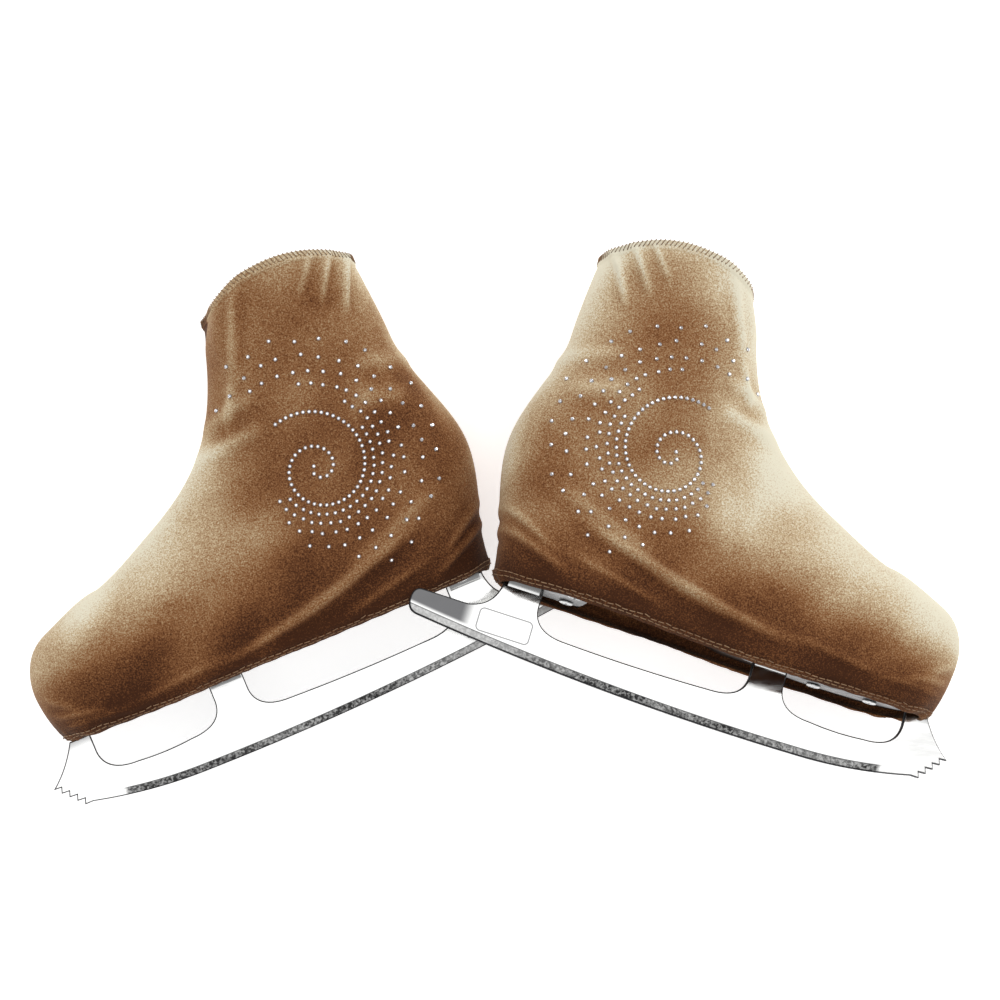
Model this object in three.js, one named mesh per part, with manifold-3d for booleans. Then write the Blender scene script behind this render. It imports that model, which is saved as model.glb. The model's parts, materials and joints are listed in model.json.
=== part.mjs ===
// A pair of figure skates in fitted velvet covers, lying heel to heel on their inner sides.
// Each skate is drawn upright in its own frame: x runs forward to the toe from the back of the heel,
// y to the left, z up from the ice. The right skate is the left one mirrored. Millimetres throughout.
import * as THREE from "three";
import { mergeVertices } from "three/addons/utils/BufferGeometryUtils.js";
import Module from "manifold-3d";

const wasm = await Module();
wasm.setup();

// ---------- driving dimensions ----------
const GAP = 0.3; // left between pieces that are joined face to face

// boot cover, outside
const SOLE_HEIGHT = 47; // ice to the underside of the sole and of the heel
const NOSE_X = 260; // front of the toe
const TOE_LENGTH = 55; // from the toe cap's crown to the nose
const TOE_CROWN = 68; // height of the toe cap's crown above the sole's underside
const SIDE_HEIGHT = 23; // height of the widest line above the sole's underside
const BALL_HALF_WIDTH = 46;
const WAIST_HALF_WIDTH = 38;
const HEEL_HALF_WIDTH = 35;
const ANKLE_HALF_WIDTH = 37;
const COLLAR_HALF_WIDTH = 34;
const TOE_INSWING = 6; // how far the toe swings towards the other foot
const HEEL_BULGE = 14; // how far the heel counter stands back from the hem at its foot
const COLLAR_FRONT_X = 94;
const COLLAR_BACK_X = 4;
const COLLAR_HEIGHT = 201; // crown of the cover's top edge above the sole's underside
const COLLAR_DIP = 14; // how much lower that edge lies at the front and the back
const ROUNDNESS = 2.4; // exponent of the toe cap's and instep's section
const HEEL_ROUND = 42; // length over which the back of the boot rounds off
const HEEL_ROUNDNESS = 2.2; // exponent of that rounding
const INSTEP_RUN = 0.7; // share of an inset that counts along x, and along z, on the sloping instep
const COVER_WALL = 1.2;
const TOP_HEM_HEIGHT = 5;
const SOLE_HEM_DROP = 4; // the lower hem hangs this far below the sole's underside
const SOLE_HEM_HEIGHT = 3;
const HEM_TUCK_SIDE = 7; // how far the lower hem tucks under the sole at the sides
const HEM_TUCK_END = 3; // and at the toe and the heel

// boot
const BOOT_SLACK = 0.9; // between the cover and the leather
const LEATHER = 2.7;
const THROAT_SLACK = 8.5; // cover to leather over the instep, where the hooks stand
const THROAT_HALF_WIDTH = 17;
const EYESTAY_WIDTH = 9;
const THROAT_START_X = 182;
const TONGUE_WALL = 4;
const TONGUE_HALF_WIDTH = 25;
const PAD_WALL = 5;
const PAD_DEPTH = 42; // height of the padded lining below the collar
const COLLAR_TO_HEM = 6; // the leather collar stops this far below the cover's top edge
const HOOK_COUNT = 3;
const HOOK_SPACING = 18;
const HOOK_HEAD_RADIUS = 3.4;
const HOOK_STEM_RADIUS = 1.6;
const HOOK_ROOT = 1.2; // how deep a hook's stem sits in the leather
const HOOK_LEAN = 0.45; // radians that a hook turns outwards
const HOOK_CLEARANCE = 0.8; // hook to cover

// sole and heel
const OUTSOLE_WALL = 7;
const OUTSOLE_INSET = 4.4; // from the cover's outside to the sole's edge
const INSOLE_WALL = 4;
const HEEL_SEAT_RISE = 29; // underside of the outsole at the heel, above the heel's underside
const HEEL_LENGTH = 52;
const HEEL_BREAST_RAKE = 9; // the heel's front face leans forward by this much
const ARCH_END_X = 140; // where the arch meets the flat of the ball

// blade
const BLADE_THICKNESS = 4;
const RUNNER_DEPTH = 19.5; // height of the runner under the windows, above the ice line
const ROCKER_RADIUS = 1700;
const ROCKER_X = 150; // lowest point of the runner
const FRONT_ROCKER_RADIUS = 330;
const FRONT_ROCKER_X = 188;
const TAIL_X = -43.5;
const TAIL_TOP = 24.5;
const REAR_POST_X = 14.5;
const REAR_POST_WIDTH = 22;
const MID_POST_X = 158.5;
const MID_POST_WIDTH = 20;
const TOE_POST_X = 245;
const TOE_POST_WIDTH = 12;
const WINDOW_CORNER = 14; // corner radius of the two windows
const POST_FLARE = 3; // how much a post thickens on each side where it meets its plate
const POST_FLARE_HEIGHT = 6;
const PICK_COUNT = 5;
const PICK_TOP = [269, 23]; // tip of the highest toe pick
const PICK_LOW = [256, 9]; // tip of the lowest toe pick
const PICK_DEPTH = 3.2;
const PLATE_WALL = 2.5;
const SOLE_PLATE = { back: 140, front: 247, backHalf: 15, ballX: 188, ballHalf: 27, frontHalf: 12 };
const HEEL_PLATE = { back: 7, front: 50, half: 19, corner: 9 };
const SOLE_SCREWS = [[159, 13.5], [190, 20.5], [222, 15]]; // x and half spacing of each pair
const HEEL_SCREWS = [[16, 12], [41, 12]];
const SCREW_RADIUS = 2;
const SCREW_HEAD_RADIUS = 4;
const SCREW_HEAD_HEIGHT = 2;
const SCREW_LENGTH = 8;
const SCREW_CLEARANCE = 0.35;

// ankle, where the boot bends
const ANKLE_X = 48;
const ANKLE_Z = 155;
const FLEX_FORWARD = 12; // degrees
const FLEX_BACK = 4;
const FLEX_SPARE = 1.2; // degrees left open at each limit
const FLEX_GAP = 1.2; // gap at the axis

// how the pair lies: slope of the sole in plan, roll of the sole upwards, lift of the toe, degrees
const HEEL_TO_HEEL = 9; // between the two heels' reference points
const LEFT_LAY = { slope: 22.5, roll: 0.4, toeLift: 3.8, x: -HEEL_TO_HEEL / 2, y: 0 };
const RIGHT_LAY = { slope: 18.2, roll: 11.5, toeLift: -7, x: HEEL_TO_HEEL / 2, y: -3 };

// mesh fineness
const AROUND = 24; // points round a section
const CURVE_STEPS = 5; // steps in a short curve of an outline
const ROUND_SIDES = 8; // sides of a screw or a hook

// ---------- materials ----------
const finish = (color, roughness, metalness = 0) =>
  new THREE.MeshStandardMaterial({ color, roughness, metalness });
const velvet = finish(0x8a5a34, 0.85);
const elasticHem = finish(0x6b4020, 0.8);
const bootLeather = finish(0xe8e0d2, 0.5);
const lining = finish(0xc9b28f, 0.9);
const soleLeather = finish(0x2a1a12, 0.55);
const steel = finish(0xd8dadc, 0.15, 1);
const screwSteel = finish(0xc4c6c8, 0.3, 1);

// ---------- small helpers ----------
const { clamp, lerp, smoothstep, degToRad } = THREE.MathUtils;

// A closed geometry as a manifold-3d solid.
function solid(geometry) {
  const bare = geometry.clone();
  bare.deleteAttribute("normal");
  bare.deleteAttribute("uv");
  const merged = mergeVertices(bare, 1e-4);
  return new wasm.Manifold(
    new wasm.Mesh({
      numProp: 3,
      vertProperties: merged.attributes.position.array,
      triVerts: new Uint32Array(merged.index.array),
    }),
  );
}

// A manifold-3d solid as a geometry.
function geometryOf(body) {
  const made = body.getMesh();
  const vertices = new Float32Array(made.numVert * 3);
  for (let i = 0; i < made.numVert; i++) {
    const from = i * made.numProp;
    vertices.set(made.vertProperties.subarray(from, from + 3), i * 3);
  }
  const geometry = new THREE.BufferGeometry();
  geometry.setAttribute("position", new THREE.BufferAttribute(vertices, 3));
  geometry.setIndex(new THREE.BufferAttribute(made.triVerts, 1));
  geometry.computeVertexNormals();
  return geometry;
}

// A smooth function of one number through [at, value] pairs, flat beyond both ends.
function through(...pairs) {
  return (at) => {
    if (at <= pairs[0][0]) return pairs[0][1];
    for (let i = 1; i < pairs.length; i++) {
      const [a, from] = pairs[i - 1];
      const [b, to] = pairs[i];
      if (at <= b) return lerp(from, to, smoothstep(at, a, b));
    }
    return pairs.at(-1)[1];
  };
}

// An outline in x and z, given as a THREE.Shape, made into a plate from y = low to y = high.
function plateAcross(shape, low, high, curveSegments = CURVE_STEPS) {
  const depth = high - low;
  const geometry = new THREE.ExtrudeGeometry(shape, { depth, bevelEnabled: false, curveSegments });
  return solid(geometry.rotateX(Math.PI / 2).translate(0, high, 0));
}

function polygonAcross(points, half) {
  return plateAcross(new THREE.Shape(points.map(([x, z]) => new THREE.Vector2(x, z))), -half, half);
}

const WIDE = 200; // wider than the skate, for cutting
const HIGH = 400;
const FAR = 500;

// ---------- the boot's outer form ----------
const SIDE_Z = SOLE_HEIGHT + SIDE_HEIGHT;
const COLLAR_Z = SOLE_HEIGHT + COLLAR_HEIGHT;
const HEM_Z = SOLE_HEIGHT - SOLE_HEM_DROP;
const CROWN_X = NOSE_X - TOE_LENGTH;
const CROWN_Z = SOLE_HEIGHT + TOE_CROWN;

// The line over the toe cap, the instep and up the front of the shaft.
const frontLine = new THREE.CubicBezierCurve(
  new THREE.Vector2(CROWN_X, CROWN_Z),
  new THREE.Vector2(lerp(COLLAR_FRONT_X, CROWN_X, 0.46), CROWN_Z + 18),
  new THREE.Vector2(lerp(COLLAR_FRONT_X, CROWN_X, 0.05), lerp(CROWN_Z, COLLAR_Z, 0.42)),
  new THREE.Vector2(COLLAR_FRONT_X, COLLAR_Z),
);
const frontPoints = frontLine.getPoints(60);

// Height of the front line at x: level past the crown, and very steep behind the collar's front.
function frontHeight(x) {
  if (x >= CROWN_X) return frontPoints[0].y;
  for (let i = 1; i < frontPoints.length; i++) {
    const a = frontPoints[i - 1];
    const b = frontPoints[i];
    if (x >= b.x) return lerp(a.y, b.y, (x - a.x) / (b.x - a.x));
  }
  const [last, before] = [frontPoints.at(-1), frontPoints.at(-2)];
  return last.y + ((last.x - x) * (last.y - before.y)) / (before.x - last.x);
}

const backX = through(
  [HEM_Z, -3],
  [SOLE_HEIGHT + 68, -3 - HEEL_BULGE],
  [SOLE_HEIGHT + 140, COLLAR_BACK_X - 4],
  [COLLAR_Z, COLLAR_BACK_X],
);
const footHalfWidth = through(
  [15, HEEL_HALF_WIDTH],
  [85, WAIST_HALF_WIDTH],
  [185, BALL_HALF_WIDTH],
);
const shaftHalfWidth = through(
  [SOLE_HEIGHT + 55, HEEL_HALF_WIDTH],
  [SOLE_HEIGHT + 105, ANKLE_HALF_WIDTH],
  [COLLAR_Z, COLLAR_HALF_WIDTH],
);
const shaftShare = (z) => smoothstep(z, SOLE_HEIGHT + 48, SOLE_HEIGHT + 105);

// How far the lower hem has tucked under at height z: 0 above the sole's edge, 1 at the hem's foot.
const EDGE_RISE = 2; // the tuck starts this far above the sole's underside
const tuckShare = (z) => clamp((SOLE_HEIGHT + EDGE_RISE - z) / (SOLE_HEM_DROP + EDGE_RISE), 0, 1) ** 2;

// Insets of a layer from the cover's outside: at the sides and the back, at the nose, over the instep.
const layer = (side, nose = side, instep = side) => ({ side, nose, instep });
const deeper = (from, by) => layer(from.side + by, from.nose + by, from.instep + by);

// Half width of a layer at x and z, and 0 outside it.
function halfWidth(x, z, inset) {
  const tuck = tuckShare(z);
  const back = backX(z) + inset.side + tuck * HEM_TUCK_END;
  const nose = TOE_LENGTH - inset.nose - tuck * HEM_TUCK_END;
  const plain = lerp(footHalfWidth(x), shaftHalfWidth(z), shaftShare(z));
  const across = plain - inset.side - tuck * HEM_TUCK_SIDE;
  const along = clamp((x - CROWN_X) / nose, 0, 1) ** ROUNDNESS;
  const crown = frontHeight(x + inset.instep * INSTEP_RUN) - inset.instep * INSTEP_RUN;
  const up = clamp((z - SIDE_Z) / Math.max(crown - SIDE_Z, 1), 0, 1) ** ROUNDNESS;
  const behind = clamp((back + HEEL_ROUND - x) / HEEL_ROUND, 0, 1) ** HEEL_ROUNDNESS;
  const over = Math.max(1 - along - up, 0) ** (1 / ROUNDNESS);
  return across * over * Math.max(1 - behind, 0) ** (1 / HEEL_ROUNDNESS);
}

const swing = (x) => -TOE_INSWING * smoothstep(x, 130, NOSE_X);

// Front end of a layer's section at height z, by halving.
function sectionFront(z, inset) {
  let inside = backX(z) + HEEL_ROUND;
  let outside = NOSE_X + 5;
  for (let i = 0; i < 40; i++) {
    const middle = (inside + outside) / 2;
    if (halfWidth(middle, z, inset) > 1e-6) inside = middle;
    else outside = middle;
  }
  return inside;
}

// Points round a layer's section at height z, anticlockwise from the heel along the inner side.
function section(z, inset) {
  const tuck = tuckShare(z);
  const back = backX(z) + inset.side + tuck * HEM_TUCK_END;
  const front = sectionFront(z, inset);
  const points = [];
  for (let i = 0; i < AROUND; i++) {
    const turn = (2 * Math.PI * i) / AROUND;
    const x = lerp(back, front, (1 - Math.cos(turn)) / 2);
    const side = i === 0 || i === AROUND / 2 ? 0 : -Math.sign(Math.sin(turn));
    points.push([x, swing(x) + side * halfWidth(x, z, inset), z]);
  }
  return points;
}

// Heights of the sections, close together over the toe cap, where the form changes fastest.
const LEVELS = [
  HEM_Z, SOLE_HEIGHT + 2, SOLE_HEIGHT + 12, SIDE_Z, SOLE_HEIGHT + 42, SOLE_HEIGHT + 54, SOLE_HEIGHT + 62,
  SOLE_HEIGHT + 68, SOLE_HEIGHT + 75, SOLE_HEIGHT + 86, SOLE_HEIGHT + 104, SOLE_HEIGHT + 134,
  SOLE_HEIGHT + 168, COLLAR_Z + 2,
];

// A layer as one closed solid: the sections joined by quads, with a flat lid at each end.
function loft(inset, low = LEVELS[0], high = LEVELS.at(-1)) {
  const heights = [low, ...LEVELS.filter((z) => z > low + 1 && z < high - 1), high];
  const rings = heights.map((z) => section(z, inset));
  const faces = [];
  for (let r = 1; r < rings.length; r++) {
    for (let i = 0; i < AROUND; i++) {
      const j = (i + 1) % AROUND;
      const [a, b] = [(r - 1) * AROUND + i, (r - 1) * AROUND + j];
      faces.push(a, b, b + AROUND, a, b + AROUND, a + AROUND);
    }
  }
  const lid = (start, flip) => {
    for (let i = 0; i < AROUND / 2; i++) {
      const [a, b] = [start + i, start + i + 1];
      const [c, d] = [start + ((AROUND - i - 1) % AROUND), start + ((AROUND - i) % AROUND)];
      const quads = i === 0 ? [[a, c, b]] : i === AROUND / 2 - 1 ? [[a, d, b]] : [[a, d, c], [a, c, b]];
      quads.forEach((t) => faces.push(...(flip ? [t[0], t[2], t[1]] : t)));
    }
  };
  lid(0, false);
  lid((rings.length - 1) * AROUND, true);
  const geometry = new THREE.BufferGeometry();
  geometry.setAttribute("position", new THREE.Float32BufferAttribute(rings.flat(2), 3));
  geometry.setIndex(faces);
  return solid(geometry);
}

const shell = (outer, inner) => loft(outer).subtract(loft(inner, HEM_Z - 4, COLLAR_Z + 6));

// ---------- cutting shapes ----------
// Everything below the cover's arched top edge, lowered by drop.
function belowCollar(drop) {
  const middle = (COLLAR_BACK_X + COLLAR_FRONT_X) / 2;
  const half = (COLLAR_FRONT_X - COLLAR_BACK_X) / 2;
  const steps = 12;
  const edge = [];
  for (let i = 0; i <= steps; i++) {
    const along = lerp(-1.35, 1.35, i / steps);
    edge.push([middle + half * along, COLLAR_Z - drop - COLLAR_DIP * along * along]);
  }
  const end = edge.at(-1)[1];
  return polygonAcross([[-FAR, 0], [FAR, 0], [FAR, end], ...edge.reverse(), [-FAR, end]], WIDE);
}

// The foot lies below the ankle's axis, and the shaft above two faces that leave room for it to bend.
const belowAnkle = polygonAcross([[-FAR, -10], [FAR, -10], [FAR, ANKLE_Z], [-FAR, ANKLE_Z]], WIDE);
const forwardRise = Math.tan(degToRad(FLEX_FORWARD + FLEX_SPARE));
const backRise = Math.tan(degToRad(FLEX_BACK + FLEX_SPARE));
const aboveAnkle = polygonAcross(
  [
    [ANKLE_X, ANKLE_Z + FLEX_GAP],
    [ANKLE_X + WIDE, ANKLE_Z + FLEX_GAP + WIDE * forwardRise],
    [ANKLE_X + WIDE, HIGH],
    [ANKLE_X - WIDE, HIGH],
    [ANKLE_X - WIDE, ANKLE_Z + FLEX_GAP + WIDE * backRise],
  ],
  WIDE,
);

const between = (low, high) => polygonAcross([[-FAR, low], [FAR, low], [FAR, high], [-FAR, high]], WIDE);

function block(x0, x1, y0, y1, z0, z1) {
  const box = new THREE.BoxGeometry(x1 - x0, y1 - y0, z1 - z0);
  return solid(box.translate((x0 + x1) / 2, (y0 + y1) / 2, (z0 + z1) / 2));
}

// ---------- cover ----------
const coverOuter = layer(0);
const coverInner = layer(COVER_WALL);
const coverShell = shell(coverOuter, coverInner);
const SOLE_HEM_TOP = HEM_Z + SOLE_HEM_HEIGHT;

function coverFoot() {
  return coverShell.intersect(belowAnkle).intersect(between(SOLE_HEM_TOP + GAP, HIGH));
}

function coverShaft() {
  return coverShell.intersect(aboveAnkle).intersect(belowCollar(TOP_HEM_HEIGHT + GAP));
}

function coverTopHem() {
  return coverShell.intersect(belowCollar(0)).subtract(belowCollar(TOP_HEM_HEIGHT));
}

function coverSoleHem() {
  return coverShell.intersect(between(HEM_Z, SOLE_HEM_TOP));
}

// ---------- sole and heel ----------
const HEEL_SEAT_Z = SOLE_HEIGHT + HEEL_SEAT_RISE;
const breastTopX = HEEL_LENGTH + HEEL_BREAST_RAKE;

// Underside of the outsole: flat under the ball, rising through the arch to the heel seat.
function soleLine(lift) {
  const line = [];
  const steps = 8;
  for (let i = 0; i <= steps; i++) {
    const share = i / steps;
    const z = lerp(SOLE_HEIGHT, HEEL_SEAT_Z, smoothstep(share, 0, 1));
    line.push([lerp(ARCH_END_X, breastTopX, share), z + lift]);
  }
  return [[FAR, SOLE_HEIGHT + lift], ...line, [-FAR, HEEL_SEAT_Z + lift]];
}

const slabBetween = (low, high) => polygonAcross([...soleLine(low), ...soleLine(high).reverse()], WIDE);
const aboveSole = (lift) => polygonAcross([...soleLine(lift), [-FAR, HIGH], [FAR, HIGH]], WIDE);

// The sole's outline in plan, as a tall solid.
function solePlan(inset) {
  const ring = section(SOLE_HEIGHT + 3, layer(inset));
  const shape = new THREE.Shape(ring.map(([x, y]) => new THREE.Vector2(x, y)));
  const depth = HIGH;
  return solid(new THREE.ExtrudeGeometry(shape, { depth, bevelEnabled: false }));
}

const outsolePlan = solePlan(OUTSOLE_INSET);

function outsole() {
  return slabBetween(0, OUTSOLE_WALL).intersect(outsolePlan);
}

function heelStack() {
  const side = [
    [-FAR, SOLE_HEIGHT],
    [HEEL_LENGTH, SOLE_HEIGHT],
    [breastTopX - GAP, HEEL_SEAT_Z - GAP],
    [-FAR, HEEL_SEAT_Z - GAP],
  ];
  const underSole = polygonAcross([...soleLine(-GAP), [-FAR, 0], [FAR, 0]], WIDE);
  return polygonAcross(side, WIDE).intersect(outsolePlan).intersect(underSole);
}

const leatherOuter = layer(COVER_WALL + BOOT_SLACK, COVER_WALL + BOOT_SLACK, THROAT_SLACK);
const leatherInner = deeper(leatherOuter, LEATHER);

function insole() {
  const low = OUTSOLE_WALL + GAP;
  const inside = loft(layer(leatherInner.side + GAP, leatherInner.nose + GAP, leatherInner.instep));
  return slabBetween(low, low + INSOLE_WALL).intersect(inside);
}

// ---------- boot upper ----------
const leatherShell = shell(leatherOuter, leatherInner);

// The lacing gap down the front of the boot.
function throat(half) {
  return block(ANKLE_X, THROAT_START_X, -half, half, ANKLE_Z - 70, HIGH);
}

function vamp() {
  const overSole = aboveSole(OUTSOLE_WALL + GAP);
  return leatherShell.intersect(belowAnkle).intersect(overSole).subtract(throat(THROAT_HALF_WIDTH));
}

const leatherCollar = belowCollar(COLLAR_TO_HEM);
const leatherShaft = leatherShell.intersect(aboveAnkle).intersect(leatherCollar);

// One side of the shaft, behind the eyestay and clear of the back seam.
function quarter(side) {
  const [low, high] = side > 0 ? [GAP / 2, WIDE] : [-WIDE, -GAP / 2];
  const half = block(-WIDE, FAR, low, high, 0, HIGH);
  return leatherShaft.intersect(half).subtract(throat(THROAT_HALF_WIDTH + EYESTAY_WIDTH + GAP));
}

// A mushroom-headed lacing hook that stands forward from the eyestay.
function hook(length) {
  const profile = [
    [0, 0],
    [HOOK_STEM_RADIUS, 0],
    [HOOK_STEM_RADIUS, length - 1.2],
    [HOOK_HEAD_RADIUS, length - 1],
    [HOOK_HEAD_RADIUS, length - 0.4],
    [0, length],
  ];
  return new THREE.LatheGeometry(profile.map(([r, h]) => new THREE.Vector2(r, h)), ROUND_SIDES);
}

// Front of a layer at height z and y, found by stepping back from the nose.
function frontX(z, y, inset) {
  let x = NOSE_X;
  while (halfWidth(x, z, inset) < Math.abs(y)) x -= 0.25;
  return x;
}

// The facing that carries the hooks, on one side of the throat.
function eyestay(side) {
  const [low, high] = side > 0
    ? [THROAT_HALF_WIDTH, THROAT_HALF_WIDTH + EYESTAY_WIDTH]
    : [-THROAT_HALF_WIDTH - EYESTAY_WIDTH, -THROAT_HALF_WIDTH];
  const middleY = (low + high) / 2;
  let body = leatherShaft.intersect(block(ANKLE_X, THROAT_START_X, low, high, 0, HIGH));
  for (let i = 0; i < HOOK_COUNT; i++) {
    const z = COLLAR_Z - COLLAR_DIP - COLLAR_TO_HEM - 10 - i * HOOK_SPACING;
    const root = frontX(z, middleY, leatherOuter) - HOOK_ROOT;
    const rim = Math.abs(middleY) + HOOK_HEAD_RADIUS;
    const below = frontX(z - HOOK_HEAD_RADIUS, rim, coverInner);
    const above = frontX(z + HOOK_HEAD_RADIUS, rim, coverInner);
    const length = Math.min(below, above) - HOOK_CLEARANCE - root;
    const placed = hook(length).rotateZ(side * HOOK_LEAN - Math.PI / 2).translate(root, middleY, z);
    body = body.add(solid(placed));
  }
  return body;
}

const TONGUE_BACK_X = ANKLE_X + 16;
const TONGUE_FOOT_X = THROAT_START_X + 14; // the tongue's foot reaches past the throat, under the vamp
const TONGUE_FOOT_Z = SOLE_HEIGHT + 45;
const tongueOuter = deeper(leatherInner, GAP);
const tongueShell = shell(tongueOuter, deeper(tongueOuter, TONGUE_WALL)).intersect(
  block(TONGUE_BACK_X, TONGUE_FOOT_X, -TONGUE_HALF_WIDTH, TONGUE_HALF_WIDTH, TONGUE_FOOT_Z, HIGH),
);

function lowerTongue() {
  return tongueShell.intersect(belowAnkle);
}

function upperTongue() {
  return tongueShell.intersect(aboveAnkle).intersect(belowCollar(COLLAR_TO_HEM - 3));
}

function collarPad() {
  const inner = deeper(tongueOuter, PAD_WALL);
  const wall = shell(tongueOuter, inner).intersect(leatherCollar);
  const ring = wall.subtract(belowCollar(COLLAR_TO_HEM + PAD_DEPTH));
  const beside = TONGUE_HALF_WIDTH + GAP;
  return ring.subtract(block(TONGUE_BACK_X - GAP, FAR, -beside, beside, 0, HIGH));
}

// ---------- blade ----------
const POST_TOP = SOLE_HEIGHT - PLATE_WALL - GAP;

// Height of the runner's edge at x.
function rocker(x) {
  const main = (x - ROCKER_X) ** 2 / (2 * ROCKER_RADIUS);
  const front = Math.max(x - FRONT_ROCKER_X, 0) ** 2 / (2 * FRONT_ROCKER_RADIUS);
  return main + front;
}

// A window between two posts, open at the top, with round lower corners.
function windowShape(back, front, bottom) {
  const shape = new THREE.Shape();
  shape.moveTo(back, POST_TOP + 5);
  shape.lineTo(back, bottom + WINDOW_CORNER);
  shape.quadraticCurveTo(back + 1, bottom + 1, back + WINDOW_CORNER * 1.4, bottom + 0.8);
  shape.quadraticCurveTo((back + front) / 2, bottom - 0.8, front - WINDOW_CORNER * 1.4, bottom + 0.8);
  shape.quadraticCurveTo(front - 1, bottom + 1, front, bottom + WINDOW_CORNER);
  shape.lineTo(front, POST_TOP + 5);
  return shape;
}

function bladeOutline() {
  const shape = new THREE.Shape();
  const steps = 16;
  const pickStart = PICK_LOW[0] - 5;
  const tailRound = TAIL_X + 6; // the tail's lower corner is rounded back to here
  const rearBack = REAR_POST_X - REAR_POST_WIDTH / 2;
  shape.moveTo(tailRound, rocker(tailRound));
  for (let i = 1; i <= steps; i++) {
    const x = lerp(tailRound, pickStart, i / steps);
    shape.lineTo(x, rocker(x));
  }
  for (let i = 0; i < PICK_COUNT; i++) {
    const share = i / (PICK_COUNT - 1);
    const x = lerp(PICK_LOW[0], PICK_TOP[0], share);
    const z = lerp(PICK_LOW[1], PICK_TOP[1], share);
    shape.lineTo(x, z);
    if (i < PICK_COUNT - 1) shape.lineTo(x - PICK_DEPTH * 0.35, z + PICK_DEPTH);
  }
  const frontTop = TOE_POST_X + TOE_POST_WIDTH / 2;
  shape.quadraticCurveTo(frontTop + 7, lerp(PICK_TOP[1], POST_TOP, 0.4), frontTop, POST_TOP);
  shape.lineTo(rearBack, POST_TOP);
  shape.quadraticCurveTo(rearBack - 1, TAIL_TOP + 3, rearBack - 16, TAIL_TOP);
  shape.lineTo(TAIL_X + 5, TAIL_TOP);
  shape.quadraticCurveTo(TAIL_X, TAIL_TOP, TAIL_X, lerp(TAIL_TOP, rocker(TAIL_X), 0.5));
  shape.quadraticCurveTo(TAIL_X, rocker(TAIL_X), tailRound, rocker(tailRound));
  return shape;
}

// The thickening at the top of a post.
function postFlare(x, width) {
  const half = BLADE_THICKNESS / 2;
  const low = POST_TOP - POST_FLARE_HEIGHT;
  const shape = new THREE.Shape();
  shape.moveTo(-half, low);
  shape.lineTo(half, low);
  shape.quadraticCurveTo(half + POST_FLARE * 0.2, POST_TOP - 1, half + POST_FLARE, POST_TOP);
  shape.lineTo(-half - POST_FLARE, POST_TOP);
  shape.quadraticCurveTo(-half - POST_FLARE * 0.2, POST_TOP - 1, -half, low);
  const settings = { depth: width, bevelEnabled: false, curveSegments: 3 };
  const geometry = new THREE.ExtrudeGeometry(shape, settings);
  geometry.rotateX(Math.PI / 2).rotateZ(Math.PI / 2).translate(x - width / 2, 0, 0);
  return solid(geometry);
}

function blade() {
  const half = BLADE_THICKNESS / 2;
  const midBack = MID_POST_X - MID_POST_WIDTH / 2;
  const midFront = MID_POST_X + MID_POST_WIDTH / 2;
  const rear = windowShape(REAR_POST_X + REAR_POST_WIDTH / 2, midBack, RUNNER_DEPTH);
  const front = windowShape(midFront, TOE_POST_X - TOE_POST_WIDTH / 2, RUNNER_DEPTH);
  let body = plateAcross(bladeOutline(), -half, half);
  for (const hole of [rear, front]) body = body.subtract(plateAcross(hole, -WIDE, WIDE));
  body = body.add(postFlare(REAR_POST_X, REAR_POST_WIDTH - 4));
  return body.add(postFlare(MID_POST_X, MID_POST_WIDTH - 2));
}

// ---------- plates and screws ----------
function drill(body, places) {
  const radius = SCREW_RADIUS + SCREW_CLEARANCE;
  for (const [x, y] of places) {
    const hole = new THREE.CylinderGeometry(radius, radius, 4 * SCREW_LENGTH, ROUND_SIDES);
    body = body.subtract(solid(hole.rotateX(Math.PI / 2).translate(x, y, SOLE_HEIGHT)));
  }
  return body;
}

const pairs = (rows) => rows.flatMap(([x, y]) => [[x, y], [x, -y]]);
const soleScrewPlaces = pairs(SOLE_SCREWS);
const heelScrewPlaces = pairs(HEEL_SCREWS);

// A plan outline, extruded down from the sole's underside.
function plate(shape) {
  const geometry = new THREE.ExtrudeGeometry(shape, {
    depth: PLATE_WALL - GAP,
    bevelEnabled: false,
    curveSegments: 6,
  });
  return solid(geometry.translate(0, 0, SOLE_HEIGHT - PLATE_WALL));
}

function solePlate() {
  const p = SOLE_PLATE;
  const shape = new THREE.Shape();
  shape.moveTo(p.back, 0);
  shape.quadraticCurveTo(p.back, -p.backHalf, p.back + 14, -p.backHalf - 1);
  shape.quadraticCurveTo(p.ballX - 14, -p.ballHalf, p.ballX, -p.ballHalf);
  shape.quadraticCurveTo(p.front - 22, -p.ballHalf, p.front - 5, -p.frontHalf);
  shape.quadraticCurveTo(p.front, 0, p.front - 5, p.frontHalf);
  shape.quadraticCurveTo(p.front - 22, p.ballHalf, p.ballX, p.ballHalf);
  shape.quadraticCurveTo(p.ballX - 14, p.ballHalf, p.back + 14, p.backHalf + 1);
  shape.quadraticCurveTo(p.back, p.backHalf, p.back, 0);
  return drill(plate(shape), soleScrewPlaces);
}

function heelPlate() {
  const { back, front, half, corner } = HEEL_PLATE;
  const shape = new THREE.Shape();
  shape.moveTo(back + corner, -half);
  shape.lineTo(front - corner, -half);
  shape.quadraticCurveTo(front, -half, front, -half + corner);
  shape.lineTo(front, half - corner);
  shape.quadraticCurveTo(front, half, front - corner, half);
  shape.lineTo(back + corner, half);
  shape.quadraticCurveTo(back, half, back, half - corner);
  shape.lineTo(back, -half + corner);
  shape.quadraticCurveTo(back, -half, back + corner, -half);
  return drill(plate(shape), heelScrewPlaces);
}

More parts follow.
